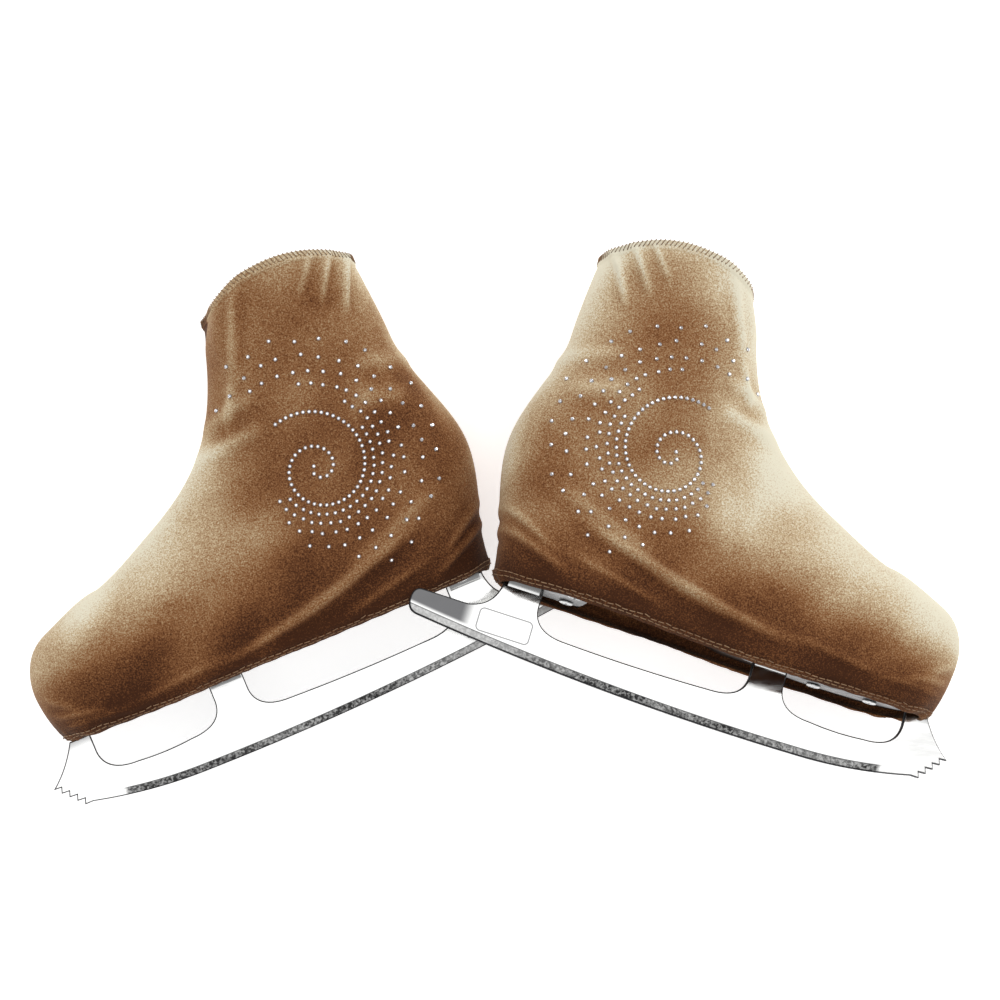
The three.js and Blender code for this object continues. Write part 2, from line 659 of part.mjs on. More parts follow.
// A pan-headed screw, head down, its shank standing up into the sole.
function screw() {
  const headTop = SOLE_HEIGHT - PLATE_WALL - GAP;
  const profile = [
    [0, headTop - SCREW_HEAD_HEIGHT],
    [SCREW_HEAD_RADIUS * 0.7, headTop - SCREW_HEAD_HEIGHT],
    [SCREW_HEAD_RADIUS, headTop - SCREW_HEAD_HEIGHT * 0.45],
    [SCREW_HEAD_RADIUS, headTop],
    [SCREW_RADIUS, headTop],
    [SCREW_RADIUS, headTop + SCREW_LENGTH - 2],
    [0, headTop + SCREW_LENGTH],
  ];
  const points = profile.map(([r, h]) => new THREE.Vector2(r, h));
  return new THREE.LatheGeometry(points, ROUND_SIDES).rotateX(Math.PI / 2);
}

// ---------- assembly ----------
const upright = {
  blade: [blade(), steel],
  sole_plate: [solePlate(), steel],
  heel_plate: [heelPlate(), steel],
  outsole: [drill(outsole(), soleScrewPlaces), soleLeather],
  heel_stack: [drill(heelStack(), heelScrewPlaces), soleLeather],
  insole: [insole(), lining],
  vamp: [vamp(), bootLeather],
  lower_tongue: [lowerTongue(), lining],
  cover_foot: [coverFoot(), velvet],
  cover_sole_hem: [coverSoleHem(), elasticHem],
  outer_quarter: [quarter(1), bootLeather],
  inner_quarter: [quarter(-1), bootLeather],
  outer_hook_facing: [eyestay(1), bootLeather],
  inner_hook_facing: [eyestay(-1), bootLeather],
  upper_tongue: [upperTongue(), lining],
  collar_padding: [collarPad(), lining],
  cover_shaft: [coverShaft(), velvet],
  cover_top_hem: [coverTopHem(), elasticHem],
};

function namedMesh(name, geometry, material) {
  const mesh = new THREE.Mesh(geometry, material);
  mesh.name = name;
  return mesh;
}

// One skate, upright in its own frame.
function skate(side) {
  const group = new THREE.Group();
  for (const [name, [body, material]] of Object.entries(upright)) {
    group.add(namedMesh(`${side}_${name}`, geometryOf(body), material));
  }
  const rows = { sole_screw: soleScrewPlaces, heel_screw: heelScrewPlaces };
  for (const [kind, places] of Object.entries(rows)) {
    places.forEach(([x, y], i) => {
      const mesh = namedMesh(`${side}_${kind}_${i + 1}`, screw(), screwSteel);
      mesh.position.set(x, y, 0);
      group.add(mesh);
    });
  }
  return group;
}

// Lays a skate on its inner side. Facing is -1 for the left skate, whose toe points to -x,
// and 1 for the right.
function lay(group, facing, place) {
  const slope = degToRad(place.slope);
  const forward = new THREE.Vector3(facing * Math.cos(slope), -Math.sin(slope), 0);
  const left = new THREE.Vector3(0, 0, -facing);
  const up = new THREE.Vector3().crossVectors(forward, left);
  const mirror = new THREE.Group();
  mirror.scale.y = -facing;
  mirror.add(group);
  const reference = new THREE.Group(); // turns about the heel's foot
  reference.position.set(0, 0, -SOLE_HEIGHT);
  reference.add(mirror);
  const tilt = new THREE.Group();
  tilt.rotation.set(-facing * degToRad(place.roll), 0, -facing * degToRad(place.toeLift), "ZXY");
  tilt.add(reference);
  const laid = new THREE.Group();
  laid.quaternion.setFromRotationMatrix(new THREE.Matrix4().makeBasis(forward, left, up));
  laid.position.set(place.x, place.y, 0);
  laid.add(tilt);
  laid.position.z = -new THREE.Box3().setFromObject(laid, true).min.z;
  return laid;
}

const pair = new THREE.Group();
pair.add(lay(skate("left"), -1, LEFT_LAY), lay(skate("right"), 1, RIGHT_LAY));

// The origin is on the floor, under the middle of the pair.
const box = new THREE.Box3().setFromObject(pair, true);
const middle = box.getCenter(new THREE.Vector3());
const skates = new THREE.Group();
pair.position.set(-middle.x, -middle.y, 0);
skates.add(pair);

export default skates;
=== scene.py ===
import json
import math

import bmesh
import bpy
import numpy as np
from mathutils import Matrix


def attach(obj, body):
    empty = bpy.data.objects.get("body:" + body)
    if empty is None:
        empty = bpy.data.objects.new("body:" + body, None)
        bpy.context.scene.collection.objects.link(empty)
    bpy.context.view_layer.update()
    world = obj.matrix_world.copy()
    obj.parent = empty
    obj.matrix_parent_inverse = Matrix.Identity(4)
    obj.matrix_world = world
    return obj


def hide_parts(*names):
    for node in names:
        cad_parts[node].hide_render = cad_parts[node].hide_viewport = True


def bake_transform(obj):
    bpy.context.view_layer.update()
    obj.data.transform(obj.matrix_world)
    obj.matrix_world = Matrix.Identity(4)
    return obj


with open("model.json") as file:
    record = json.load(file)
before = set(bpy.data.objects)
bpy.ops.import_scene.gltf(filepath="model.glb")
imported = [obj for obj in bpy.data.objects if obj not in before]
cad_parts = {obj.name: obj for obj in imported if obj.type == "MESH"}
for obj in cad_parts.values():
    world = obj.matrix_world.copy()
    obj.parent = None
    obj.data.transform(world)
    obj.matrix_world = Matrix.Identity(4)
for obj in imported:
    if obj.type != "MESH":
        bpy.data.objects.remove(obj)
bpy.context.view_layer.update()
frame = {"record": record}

rng = np.random.default_rng(11)

# camera first: straight above the pair, with a long lens
cameraSettings = dict(height=1.65, plane=0.05, field=0.5556, sensor=36.0, centre=(0.0040, 0.0130))
cameraData = bpy.data.cameras.new("camera")
cameraData.sensor_width = cameraSettings["sensor"]
cameraDistance = cameraSettings["height"] - cameraSettings["plane"]
cameraData.lens = cameraSettings["sensor"] * cameraDistance / cameraSettings["field"]
camera = bpy.data.objects.new("camera", cameraData)
camera.location = (*cameraSettings["centre"], cameraSettings["height"])
bpy.context.collection.objects.link(camera)
bpy.context.scene.camera = camera
print("camera placed")

# the boot's form, in skate space: x forward from the heel, y to the outer side, z up from the ice, in mm
boot = dict(
    soleHeight=47.0, hemDrop=4.0, noseX=260.0, toeLength=55.0, toeCrown=68.0, sideHeight=23.0,
    ballHalf=46.0, waistHalf=38.0, heelHalf=35.0, ankleHalf=37.0, collarHalf=34.0, toeInswing=6.0,
    heelBulge=14.0, collarFrontX=94.0, collarBackX=4.0, collarHeight=201.0, collarDip=14.0,
    roundness=2.4, heelRound=42.0, heelRoundness=2.2, instepRun=0.7, tuckSide=7.0, tuckEnd=3.0,
    coverWall=1.2, slack=0.9, leather=2.7, throatSlack=8.5, ankleZ=155.0, ankleX=48.0,
    hemRaise=2.0, noseFall=9.0, noseFrom=92.0,
)
crownX = boot["noseX"] - boot["toeLength"]
crownZ = boot["soleHeight"] + boot["toeCrown"]
sideZ = boot["soleHeight"] + boot["sideHeight"]
collarZ = boot["soleHeight"] + boot["collarHeight"]
hemZ = boot["soleHeight"] - boot["hemDrop"] + boot["hemRaise"]


def smooth(x, low, high):
    share = np.clip((x - low) / (high - low), 0, 1)
    return share * share * (3 - 2 * share)


# a smooth curve through (at, value) pairs, level beyond both ends
def through(at, *pairs):
    value = np.full(np.shape(at), float(pairs[0][1]))
    for (a, fromValue), (b, toValue) in zip(pairs, pairs[1:]):
        value = np.where(at > a, fromValue + (toValue - fromValue) * smooth(at, a, b), value)
    return value


# cubic curve from four points: the weights are the terms of (1 - s + s) cubed
def cubic(points, count):
    s = np.linspace(0, 1, count)[:, None]
    a, b, c, d = np.asarray(points, float)
    return a * (1 - s) ** 3 + 3 * b * s * (1 - s) ** 2 + 3 * c * s * s * (1 - s) + d * s**3


# the line over the toe cap's crown, the instep and up the front of the shaft
frontLine = cubic(
    [
        (crownX, crownZ),
        (boot["collarFrontX"] + 0.46 * (crownX - boot["collarFrontX"]), crownZ + 18),
        (boot["collarFrontX"] + 0.05 * (crownX - boot["collarFrontX"]), crownZ + 0.42 * (collarZ - crownZ)),
        (boot["collarFrontX"], collarZ),
    ],
    61,
)


# how the stretched cloth runs straighter over the instep and lies flatter on the toe cap
def instepPull(x):
    return through(x, (118, 0), (170, 3.6), (204, 1.4), (236, -3.2), (257, 0))


# the toe's lower front falls back as the cube of the way down
def noseFall(z):
    return boot["noseFall"] * np.clip((boot["noseFrom"] - z) / (boot["noseFrom"] - hemZ), 0, 1) ** 3


# height of the front line at x; behind the collar's front it runs on at the last slope
def frontHeight(x):
    inside = np.interp(x, frontLine[::-1, 0], frontLine[::-1, 1])
    (x0, z0), (x1, z1) = frontLine[-2], frontLine[-1]
    return np.where(x < x1, z1 + (x1 - x) * (z1 - z0) / (x0 - x1), inside) + instepPull(x)


def backX(z):
    low = boot["soleHeight"]
    back = boot["collarBackX"]
    return through(z, (hemZ, -3), (low + 68, -3 - boot["heelBulge"]), (low + 140, back - 4), (collarZ, back))


def tuckShare(z):
    level = boot["soleHeight"] + 3
    return np.clip((level - z) / (level - hemZ), 0, 1) ** 2


# half width of a layer at x and z: the plain half width times two rounded falls, one over the toe
# and the instep and one round the heel; inset is (side, nose, instep)
def halfWidth(x, z, inset):
    side, nose, instep = inset
    low = boot["soleHeight"]
    tuck = tuckShare(z)
    foot = through(x, (15, boot["heelHalf"]), (85, boot["waistHalf"]), (185, boot["ballHalf"]))
    shaft = through(
        z, (low + 55, boot["heelHalf"]), (low + 105, boot["ankleHalf"]), (collarZ, boot["collarHalf"])
    )
    plain = foot + (shaft - foot) * smooth(z, low + 48, low + 105)
    across = plain - side - tuck * boot["tuckSide"]
    length = boot["toeLength"] - nose - tuck * boot["tuckEnd"] - noseFall(z)
    along = np.clip((x - crownX) / length, 0, 1) ** boot["roundness"]
    run = instep * boot["instepRun"]
    crown = frontHeight(x + run) - run
    up = np.clip((z - sideZ) / np.maximum(crown - sideZ, 1), 0, 1) ** boot["roundness"]
    back = backX(z) + side + tuck * boot["tuckEnd"]
    behind = np.clip((back + boot["heelRound"] - x) / boot["heelRound"], 0, 1) ** boot["heelRoundness"]
    over = np.maximum(1 - along - up, 0) ** (1 / boot["roundness"])
    return across * over * np.maximum(1 - behind, 0) ** (1 / boot["heelRoundness"])


# front outline: straight up the nose, a rounded quarter over the toe cap, then the front line
def frontOutline():
    phi = np.linspace(0, math.pi / 2, 60)[1:]
    power = 2 / boot["roundness"]
    toe = np.stack(
        [
            crownX + boot["toeLength"] * np.cos(phi).clip(0) ** power,
            sideZ + (crownZ - sideZ) * np.sin(phi) ** power,
        ],
        axis=1,
    )
    toe[:, 1] += instepPull(toe[:, 0]) * np.sin(phi) ** power
    toe[:, 0] -= noseFall(toe[:, 1])
    top = frontLine[frontLine[:, 1] < collarZ - boot["collarDip"]][1:]
    top = np.column_stack([top[:, 0], top[:, 1] + instepPull(top[:, 0])])
    rise = np.linspace(hemZ, sideZ, 10)
    nose = np.column_stack([boot["noseX"] - noseFall(rise) - tuckShare(rise) * boot["tuckEnd"], rise])
    line = np.concatenate([nose, toe, top])
    steps = np.hypot(*np.diff(line, axis=0).T)
    return line, np.concatenate([[0], np.cumsum(steps)])


outline, outlineLength = frontOutline()
collarPinch = dict(
    reach=8.5, lift=3.0, lowZ=214.0, highZ=243.0, backX=56.0, frontX=88.0, innerY=-14.0, outerY=8.0,
)


# the collar's front is drawn back on the outer side, so that the inner side stands out past it
def pinchShare(x, y, z):
    p = collarPinch
    upward = smooth(z, p["lowZ"], p["highZ"])
    return upward * smooth(x, p["backX"], p["frontX"]) * smooth(y, p["innerY"], p["outerY"])


def pinch(spots):
    x, y, z = np.moveaxis(spots, -1, 0)
    share = pinchShare(x, y, z)
    return np.stack([x - collarPinch["reach"] * share, y, z + collarPinch["lift"] * share], -1)


rise = dict(power=2.2, archFrom=0.55)  # how late the back of a ring climbs, and where its arch begins


# A ring of a layer. t runs 0 to 1 from the lower hem to the collar, u runs 0 to 1 round the ring from the
# back over the outer side. The front end climbs the front outline at an even rate and the back end climbs
# as t to a power; x goes between them as half of 1 - cos, and y is plus or minus the half width there.
def layerGrid(u, t, inset):
    u = np.atleast_1d(u)[None, :]
    t = np.atleast_1d(t)[:, None]
    backZ = hemZ + (collarZ - boot["collarDip"] - hemZ) * t ** rise["power"]
    startX = backX(backZ) + inset[0] + tuckShare(backZ) * boot["tuckEnd"]
    reach = outlineLength[-1] * t
    endX = np.interp(reach, outlineLength, outline[:, 0])
    endZ = np.interp(reach, outlineLength, outline[:, 1])
    low = np.full(t.shape, 0.3)
    high = np.full(t.shape, 1.3)
    for _ in range(40):
        middle = (low + high) / 2
        inside = halfWidth(startX + middle * (endX - startX), backZ + middle * (endZ - backZ), inset) > 1e-6
        low = np.where(inside, middle, low)
        high = np.where(inside, high, middle)
    share = low * (1 - np.cos(2 * math.pi * u)) / 2
    x = startX + share * (endX - startX)
    arch = smooth(t, rise["archFrom"], 1) * 4 * boot["collarDip"] * (share / low) * (1 - share / low)
    z = backZ + share * (endZ - backZ) + arch
    side = np.where(u < 0.5, 1.0, -1.0)
    swing = -boot["toeInswing"] * smooth(x, 130, boot["noseX"])
    return pinch(np.stack([x, swing + side * halfWidth(x, z, inset), z], axis=-1))


# normals of a grid that closes along its second axis: the cross product of its two slopes
def gridNormals(grid):
    along = np.gradient(grid, axis=0)
    across = np.roll(grid, -1, axis=1) - np.roll(grid, 1, axis=1)
    normal = np.cross(along, across)
    normal /= np.maximum(np.linalg.norm(normal, axis=-1, keepdims=True), 1e-9)
    outward = grid - grid.mean(axis=1, keepdims=True)
    return normal if (normal * outward).sum() > 0 else -normal


# each skate's axes and origin come from two of its mounts: the blade's flat side and the insole's top
mountAt = {m["name"]: (np.array(m["pos_m"]), np.array(m["axis"])) for m in frame["record"]["mounts"]}
bladeMount = (90.0, 2.0, 12.0)
space = {}
for side, turn in (("left", 1), ("right", -1)):
    at, outward = mountAt[f"{side}_blade_side"]
    upward = mountAt[f"{side}_insole_top"][1]
    forward = np.cross(outward, upward) * turn
    axes = np.stack([forward, outward, upward])
    space[side] = (axes, at - np.array(bladeMount) @ axes / 1000)


def toRow(side, points):
    axes, origin = space[side]
    return np.asarray(points) @ axes / 1000 + origin


floorPress = dict(top=0.004, depth=0.0020)


# a soft piece is flattened where it lies on the floor: its lowest part is squeezed into what lies above
def pressed(points):
    top, depth = floorPress["top"], floorPress["depth"]
    z = points[:, 2]
    low = top + (z - top) * top / (top + depth)
    return np.column_stack([points[:, :2], np.where(z < top, low, z)])


# puts vertices and faces into a mesh; spots are in skate space and stay on the mesh as an attribute
def addPiece(name, side, spots, faces, smoothFaces=True, tone=None, soft=False):
    mesh = bpy.data.meshes.new(name)
    spots = np.asarray(spots, float).reshape(-1, 3)
    points = toRow(side, spots)
    points = pressed(points) if soft else points
    mesh.from_pydata(points.tolist(), [], faces.tolist() if hasattr(faces, "tolist") else faces)
    mark = mesh.attributes.new("spot", "FLOAT_VECTOR", "POINT")
    mark.data.foreach_set("vector", spots.astype(np.float32).ravel())
    if tone is not None:
        shade = mesh.attributes.new("tone", "FLOAT", "POINT")
        shade.data.foreach_set("value", np.asarray(tone, np.float32).ravel())
    work = bmesh.new()
    work.from_mesh(mesh)
    bmesh.ops.recalc_face_normals(work, faces=work.faces)
    work.to_mesh(mesh)
    work.free()
    mesh.polygons.foreach_set("use_smooth", np.full(len(mesh.polygons), smoothFaces))
    mesh.update()
    piece = bpy.data.objects.new(name, mesh)
    bpy.context.collection.objects.link(piece)
    return piece


def quads(rows, columns, around, first=0, flip=False):
    i, j = np.meshgrid(np.arange(rows - 1), np.arange(columns if around else columns - 1), indexing="ij")
    k = (j + 1) % columns
    ring = np.stack([i * columns + j, i * columns + k, (i + 1) * columns + k, (i + 1) * columns + j], -1)
    ring = ring.reshape(-1, 4) + first
    return ring[:, ::-1] if flip else ring


# a closed slab between two grids of the same shape: both faces, and strips along the open edges
def slabFaces(rows, columns, around):
    count = rows * columns
    faces = [quads(rows, columns, around), quads(rows, columns, around, count, True)]
    edges = [np.arange(columns), (rows - 1) * columns + np.arange(columns)]
    if not around:
        edges += [np.arange(rows) * columns, np.arange(rows) * columns + columns - 1]
    for edge in edges:
        a, b = (edge, np.roll(edge, -1)) if around else (edge[:-1], edge[1:])
        faces.append(np.stack([a, b, b + count, a + count], -1))
    return np.concatenate(faces)


def slab(name, side, outer, inner, around, tone=None):
    rows, columns = outer.shape[:2]
    spots = np.concatenate([outer.reshape(-1, 3), inner.reshape(-1, 3)])
    both = None if tone is None else np.concatenate([tone.ravel(), tone.ravel()])
    return addPiece(name, side, spots, slabFaces(rows, columns, around), tone=both, soft=True)


# a tube along a path: a ring of points about each path point, square to the path, with flat ends
def tube(path, radius, sides=6):
    path = np.asarray(path, float)
    tangent = np.gradient(path, axis=0)
    tangent /= np.linalg.norm(tangent, axis=1, keepdims=True)
    reference = np.where(np.abs(tangent[:, 2:]) < 0.9, [[0, 0, 1.0]], [[1.0, 0, 0]])
    one = np.cross(tangent, reference)
    one /= np.linalg.norm(one, axis=1, keepdims=True)
    two = np.cross(tangent, one)
    angle = np.arange(sides) / sides * 2 * math.pi
    ring = one[:, None] * np.cos(angle)[None, :, None] + two[:, None] * np.sin(angle)[None, :, None]
    return path[:, None] + radius * ring


def tubeFaces(count, sides, first=0):
    faces = quads(count, sides, True, first).tolist()
    faces.append([first + k for k in range(sides)][::-1])
    faces.append([first + (count - 1) * sides + k for k in range(sides)])
    return faces


def groupTree(name, inputs, outputs):
    tree = bpy.data.node_groups.new(name, "ShaderNodeTree")
    for label, kind, value in inputs:
        socket = tree.interface.new_socket(label, in_out="INPUT", socket_type=kind)
        if value is not None:
            socket.default_value = value
    for label, kind in outputs:
        tree.interface.new_socket(label, in_out="OUTPUT", socket_type=kind)
    return tree, tree.nodes.new("NodeGroupInput"), tree.nodes.new("NodeGroupOutput")


vectorSocket, floatSocket = "NodeSocketVector", "NodeSocketFloat"


# noise as a mask and as a bump; stretched along one axis it makes scratches instead of grain
def makeNoise(name, scale, depth, detail, strength, stretch=None):
    tree, start, end = groupTree(
        name,
        [("Vector", vectorSocket, None), ("Scale", floatSocket, scale), ("Depth", floatSocket, depth)],
        [("Mask", floatSocket), ("Normal", vectorSocket)],
    )
    link = tree.links.new
    noise = tree.nodes.new("ShaderNodeTexNoise")
    noise.inputs["Detail"].default_value = detail
    bump = tree.nodes.new("ShaderNodeBump")
    bump.inputs["Strength"].default_value = strength
    vector = start.outputs["Vector"]
    if stretch:
        mapping = tree.nodes.new("ShaderNodeMapping")
        mapping.inputs["Scale"].default_value = stretch
        link(vector, mapping.inputs["Vector"])
        vector = mapping.outputs["Vector"]
    link(vector, noise.inputs["Vector"])
    link(start.outputs["Scale"], noise.inputs["Scale"])
    link(noise.outputs["Fac"], bump.inputs["Height"])
    link(start.outputs["Depth"], bump.inputs["Distance"])
    link(noise.outputs["Fac"], end.inputs["Mask"])
    link(bump.outputs["Normal"], end.inputs["Normal"])
    return tree


# soft patches: low noise pushed through a smooth step between two limits
def makePatches():
    tree, start, end = groupTree(
        "patches",
        [("Vector", vectorSocket, None), ("Scale", floatSocket, 18.0), ("Low", floatSocket, 0.4),
         ("High", floatSocket, 0.65)],
        [("Mask", floatSocket)],
    )
    noise = tree.nodes.new("ShaderNodeTexNoise")
    noise.inputs["Detail"].default_value = 3
    noise.inputs["Distortion"].default_value = 0.6
    step = tree.nodes.new("ShaderNodeMapRange")
    step.interpolation_type = "SMOOTHSTEP"
    link = tree.links.new
    link(start.outputs["Vector"], noise.inputs["Vector"])
    link(start.outputs["Scale"], noise.inputs["Scale"])
    link(noise.outputs["Fac"], step.inputs["Value"])
    link(start.outputs["Low"], step.inputs["From Min"])
    link(start.outputs["High"], step.inputs["From Max"])
    link(step.outputs["Result"], end.inputs["Mask"])
    return tree


grainTree = makeNoise("grain", 400.0, 0.0002, 4, 0.6)
patchTree = makePatches()
scratchTree = makeNoise("scratches", 60.0, 0.00002, 6, 0.25, (0.06, 1, 1))


def blankMaterial(name):
    material = bpy.data.materials.new(name)
    material.use_nodes = True
    tree = material.node_tree
    return material, tree, tree.nodes["Principled BSDF"]


def place(tree, group, vector, **values):
    node = tree.nodes.new("ShaderNodeGroup")
    node.node_tree = group
    tree.links.new(vector, node.inputs["Vector"])
    for label, value in values.items():
        node.inputs[label].default_value = value
    return node


def attribute(tree, name):
    node = tree.nodes.new("ShaderNodeAttribute")
    node.attribute_name = name
    return node


def mathNode(tree, operation, first, second=None, third=None):
    node = tree.nodes.new("ShaderNodeMath")
    node.operation = operation
    for socket, value in zip(node.inputs, (first, second, third)):
        if isinstance(value, (int, float)):
            socket.default_value = value
        elif value is not None:
            tree.links.new(value, socket)
    return node.outputs[0]


def mixColor(tree, factor, one, two, blend="MIX"):
    node = tree.nodes.new("ShaderNodeMix")
    node.data_type = "RGBA"
    node.blend_type = blend
    for socket, value in ((node.inputs[0], factor), (node.inputs[6], one), (node.inputs[7], two)):
        if isinstance(value, (int, float)):
            socket.default_value = value
        elif isinstance(value, tuple):
            socket.default_value = (*value, 1)
        else:
            tree.links.new(value, socket)
    return node.outputs[2]


def mapRange(tree, value, low, high, toLow=0.0, toHigh=1.0):
    node = tree.nodes.new("ShaderNodeMapRange")
    node.interpolation_type = "SMOOTHSTEP"
    tree.links.new(value, node.inputs["Value"])
    for label, number in (("From Min", low), ("From Max", high), ("To Min", toLow), ("To Max", toHigh)):
        node.inputs[label].default_value = number
    return node.outputs["Result"]


# velvet: the piece's tone attribute goes from a deep red-brown through mid brown to pale cream, and carries
# painted sheen and painted shade along with the cloth's own tone; the nap's patches shift the tone up and
# down, and a fine speckle lies over it
velvetLook = dict(
    stops=[
        (0.0, (0.050, 0.017, 0.007)), (0.2, (0.135, 0.050, 0.018)), (0.4, (0.252, 0.112, 0.044)),
        (0.6, (0.385, 0.245, 0.130)), (0.8, (0.60, 0.47, 0.30)), (1.0, (0.76, 0.71, 0.56)),
    ],
    patchScale=13.0, patchShift=0.12, speckleScale=1250.0, speckleShift=1.1, sheen=0.08,
)


def makeVelvet(name):
    look = velvetLook
    material, tree, shader = blankMaterial(name)
    coords = tree.nodes.new("ShaderNodeTexCoord").outputs["Object"]
    tone = attribute(tree, "tone").outputs["Fac"]
    patches = place(tree, patchTree, coords, Scale=look["patchScale"], Low=0.38, High=0.62).outputs["Mask"]
    speckle = place(tree, grainTree, coords, Scale=look["speckleScale"], Depth=0.0003)
    nap = mathNode(tree, "MULTIPLY_ADD", patches, look["patchShift"], tone)
    fleck = mathNode(tree, "MULTIPLY_ADD", speckle.outputs["Mask"], look["speckleShift"], nap)
    level = mathNode(tree, "SUBTRACT", fleck, (look["patchShift"] + look["speckleShift"]) / 2)
    ramp = tree.nodes.new("ShaderNodeValToRGB")
    while len(ramp.color_ramp.elements) < len(look["stops"]):
        ramp.color_ramp.elements.new(0.5)
    for element, (position, color) in zip(ramp.color_ramp.elements, look["stops"]):
        element.position = position
        element.color = (*color, 1)
    tree.links.new(level, ramp.inputs["Fac"])
    tree.links.new(ramp.outputs["Color"], shader.inputs["Base Color"])
    tree.links.new(speckle.outputs["Normal"], shader.inputs["Normal"])
    shader.inputs["Roughness"].default_value = 0.95
    shader.inputs["Specular IOR Level"].default_value = 0.1
    shader.inputs["Sheen Weight"].default_value = look["sheen"]
    shader.inputs["Sheen Roughness"].default_value = 0.45
    shader.inputs["Sheen Tint"].default_value = (1.0, 0.95, 0.82, 1)
    return material


# leather, lining and thread: two close colours mixed by patches, with a grain bump
def makeSoft(name, one, two, roughness, grain, depth):
    material, tree, shader = blankMaterial(name)
    coords = tree.nodes.new("ShaderNodeTexCoord").outputs["Object"]
    patches = place(tree, patchTree, coords, Scale=30.0, Low=0.3, High=0.7).outputs["Mask"]
    fine = place(tree, grainTree, coords, Scale=grain, Depth=depth)
    base = mixColor(tree, patches, one, two)
    shade = mixColor(tree, mapRange(tree, fine.outputs["Mask"], 0.3, 0.7), (0.82, 0.82, 0.82), (1, 1, 1))
    tree.links.new(mixColor(tree, 1.0, base, shade, "MULTIPLY"), shader.inputs["Base Color"])
    rough = mapRange(tree, fine.outputs["Mask"], 0.2, 0.8, roughness - 0.08, roughness + 0.08)
    tree.links.new(rough, shader.inputs["Roughness"])
    tree.links.new(fine.outputs["Normal"], shader.inputs["Normal"])
    return material


bladeLook = dict(
    rockerX=150.0, rockerRadius=1700.0, frontX=188.0, frontRadius=330.0, bandHeight=4.2, bandFront=232.0,
    panelX=10.0, panelZ=18.5, panelHalfX=15.0, panelHalfZ=6.3, panelRound=2.5, rearReflectionX=-9.0, half=2.0,
    # the rear colour is a painted dark reflection, the post colour painted shade, and the rim colour also
    # paints shade on the rims
    rimColor=(0.03, 0.03, 0.033), bandColor=(0.03, 0.03, 0.03), rearReflectionColor=(0.05, 0.05, 0.055),
    postShadeLow=36.5, postShadeHigh=44.5, postShadeColor=(0.14, 0.14, 0.145), panelColor=(0.26, 0.26, 0.26),
)


# marks on the blade's sides: a dull ground band along the edge, a painted dark reflection on the tail,
# painted shade on the post tops and rims, and a plain rounded panel at the back. Heights are measured above
# the edge, which is the sum of two parabolas
def markBlade(tree, coords, color, rough):
    look = bladeLook

    def calc(operation, *values):
        return mathNode(tree, operation, *values)

    def both(first, second):
        return calc("MULTIPLY", first, second)

    # how far a value lies outside a span about a middle
    def outside(value, middle, half):
        return calc("MAXIMUM", calc("SUBTRACT", calc("ABSOLUTE", calc("SUBTRACT", value, middle)), half), 0)

    split = tree.nodes.new("ShaderNodeSeparateXYZ")
    tree.links.new(attribute(tree, "spot").outputs["Vector"], split.inputs[0])
    x, y, z = (split.outputs[axis] for axis in "XYZ")
    main = calc("POWER", calc("SUBTRACT", x, look["rockerX"]), 2)
    front = calc("POWER", calc("MAXIMUM", calc("SUBTRACT", x, look["frontX"]), 0), 2)
    edge = calc("MULTIPLY_ADD", front, 0.5 / look["frontRadius"], both(main, 0.5 / look["rockerRadius"]))
    above = calc("SUBTRACT", z, edge)
    top = look["bandHeight"]
    band = mapRange(tree, above, top + 0.2, top - 0.2)
    band = both(band, mapRange(tree, x, look["bandFront"] + 2, look["bandFront"] - 2))
    wear = place(tree, patchTree, coords, Scale=620.0, Low=0.28, High=0.66).outputs["Mask"]
    run = place(tree, patchTree, coords, Scale=22.0, Low=0.3, High=0.6).outputs["Mask"]
    wear = calc("MULTIPLY_ADD", wear, 0.45, calc("MULTIPLY_ADD", run, 0.2, 0.42))
    dull = both(both(band, wear), mapRange(tree, x, -20.0, 60.0, 0.5, 1.0))
    color = mixColor(tree, dull, color, look["bandColor"])
    rough = calc("MULTIPLY_ADD", band, 0.3, rough)
    # a thin dark line borders the band's top: a narrow bell about its height
    line = calc("ABSOLUTE", calc("SUBTRACT", above, top))
    line = both(mapRange(tree, line, 0.5, 0.1), mapRange(tree, x, 236.0, 228.0))
    color = mixColor(tree, both(line, 0.75), color, look["rimColor"])
    # painted reflection: behind the panel the steel is darker and clears towards the band
    rearReflection = mapRange(tree, x, look["rearReflectionX"] + 3, look["rearReflectionX"] - 6)
    rearReflection = both(rearReflection, mapRange(tree, above, top, top + 2.5))
    color = mixColor(tree, both(rearReflection, 0.9), color, look["rearReflectionColor"])
    # painted shade: the post tops darken upwards towards the sole
    postShade = mapRange(tree, z, look["postShadeLow"], look["postShadeHigh"])
    color = mixColor(tree, both(postShade, 0.7), color, look["postShadeColor"])
    # distance to a rounded rectangle: the length of what sticks out past its inner corner
    overX = outside(x, look["panelX"], look["panelHalfX"] - look["panelRound"])
    overZ = outside(z, look["panelZ"], look["panelHalfZ"] - look["panelRound"])
    away = calc("SQRT", calc("ADD", calc("POWER", overX, 2), calc("POWER", overZ, 2)))
    line = calc("ABSOLUTE", calc("SUBTRACT", away, look["panelRound"]))
    color = mixColor(tree, mapRange(tree, line, 0.55, 0.2), color, look["panelColor"])
    # painted shade: the rounded rim and the walls between both faces are darkened, and they are rougher than
    # the polished faces
    rim = mapRange(tree, calc("ABSOLUTE", y), look["half"] - 0.01, look["half"] - 0.10)
    return mixColor(tree, rim, color, look["rimColor"]), calc("MULTIPLY_ADD", rim, 0.25, rough)


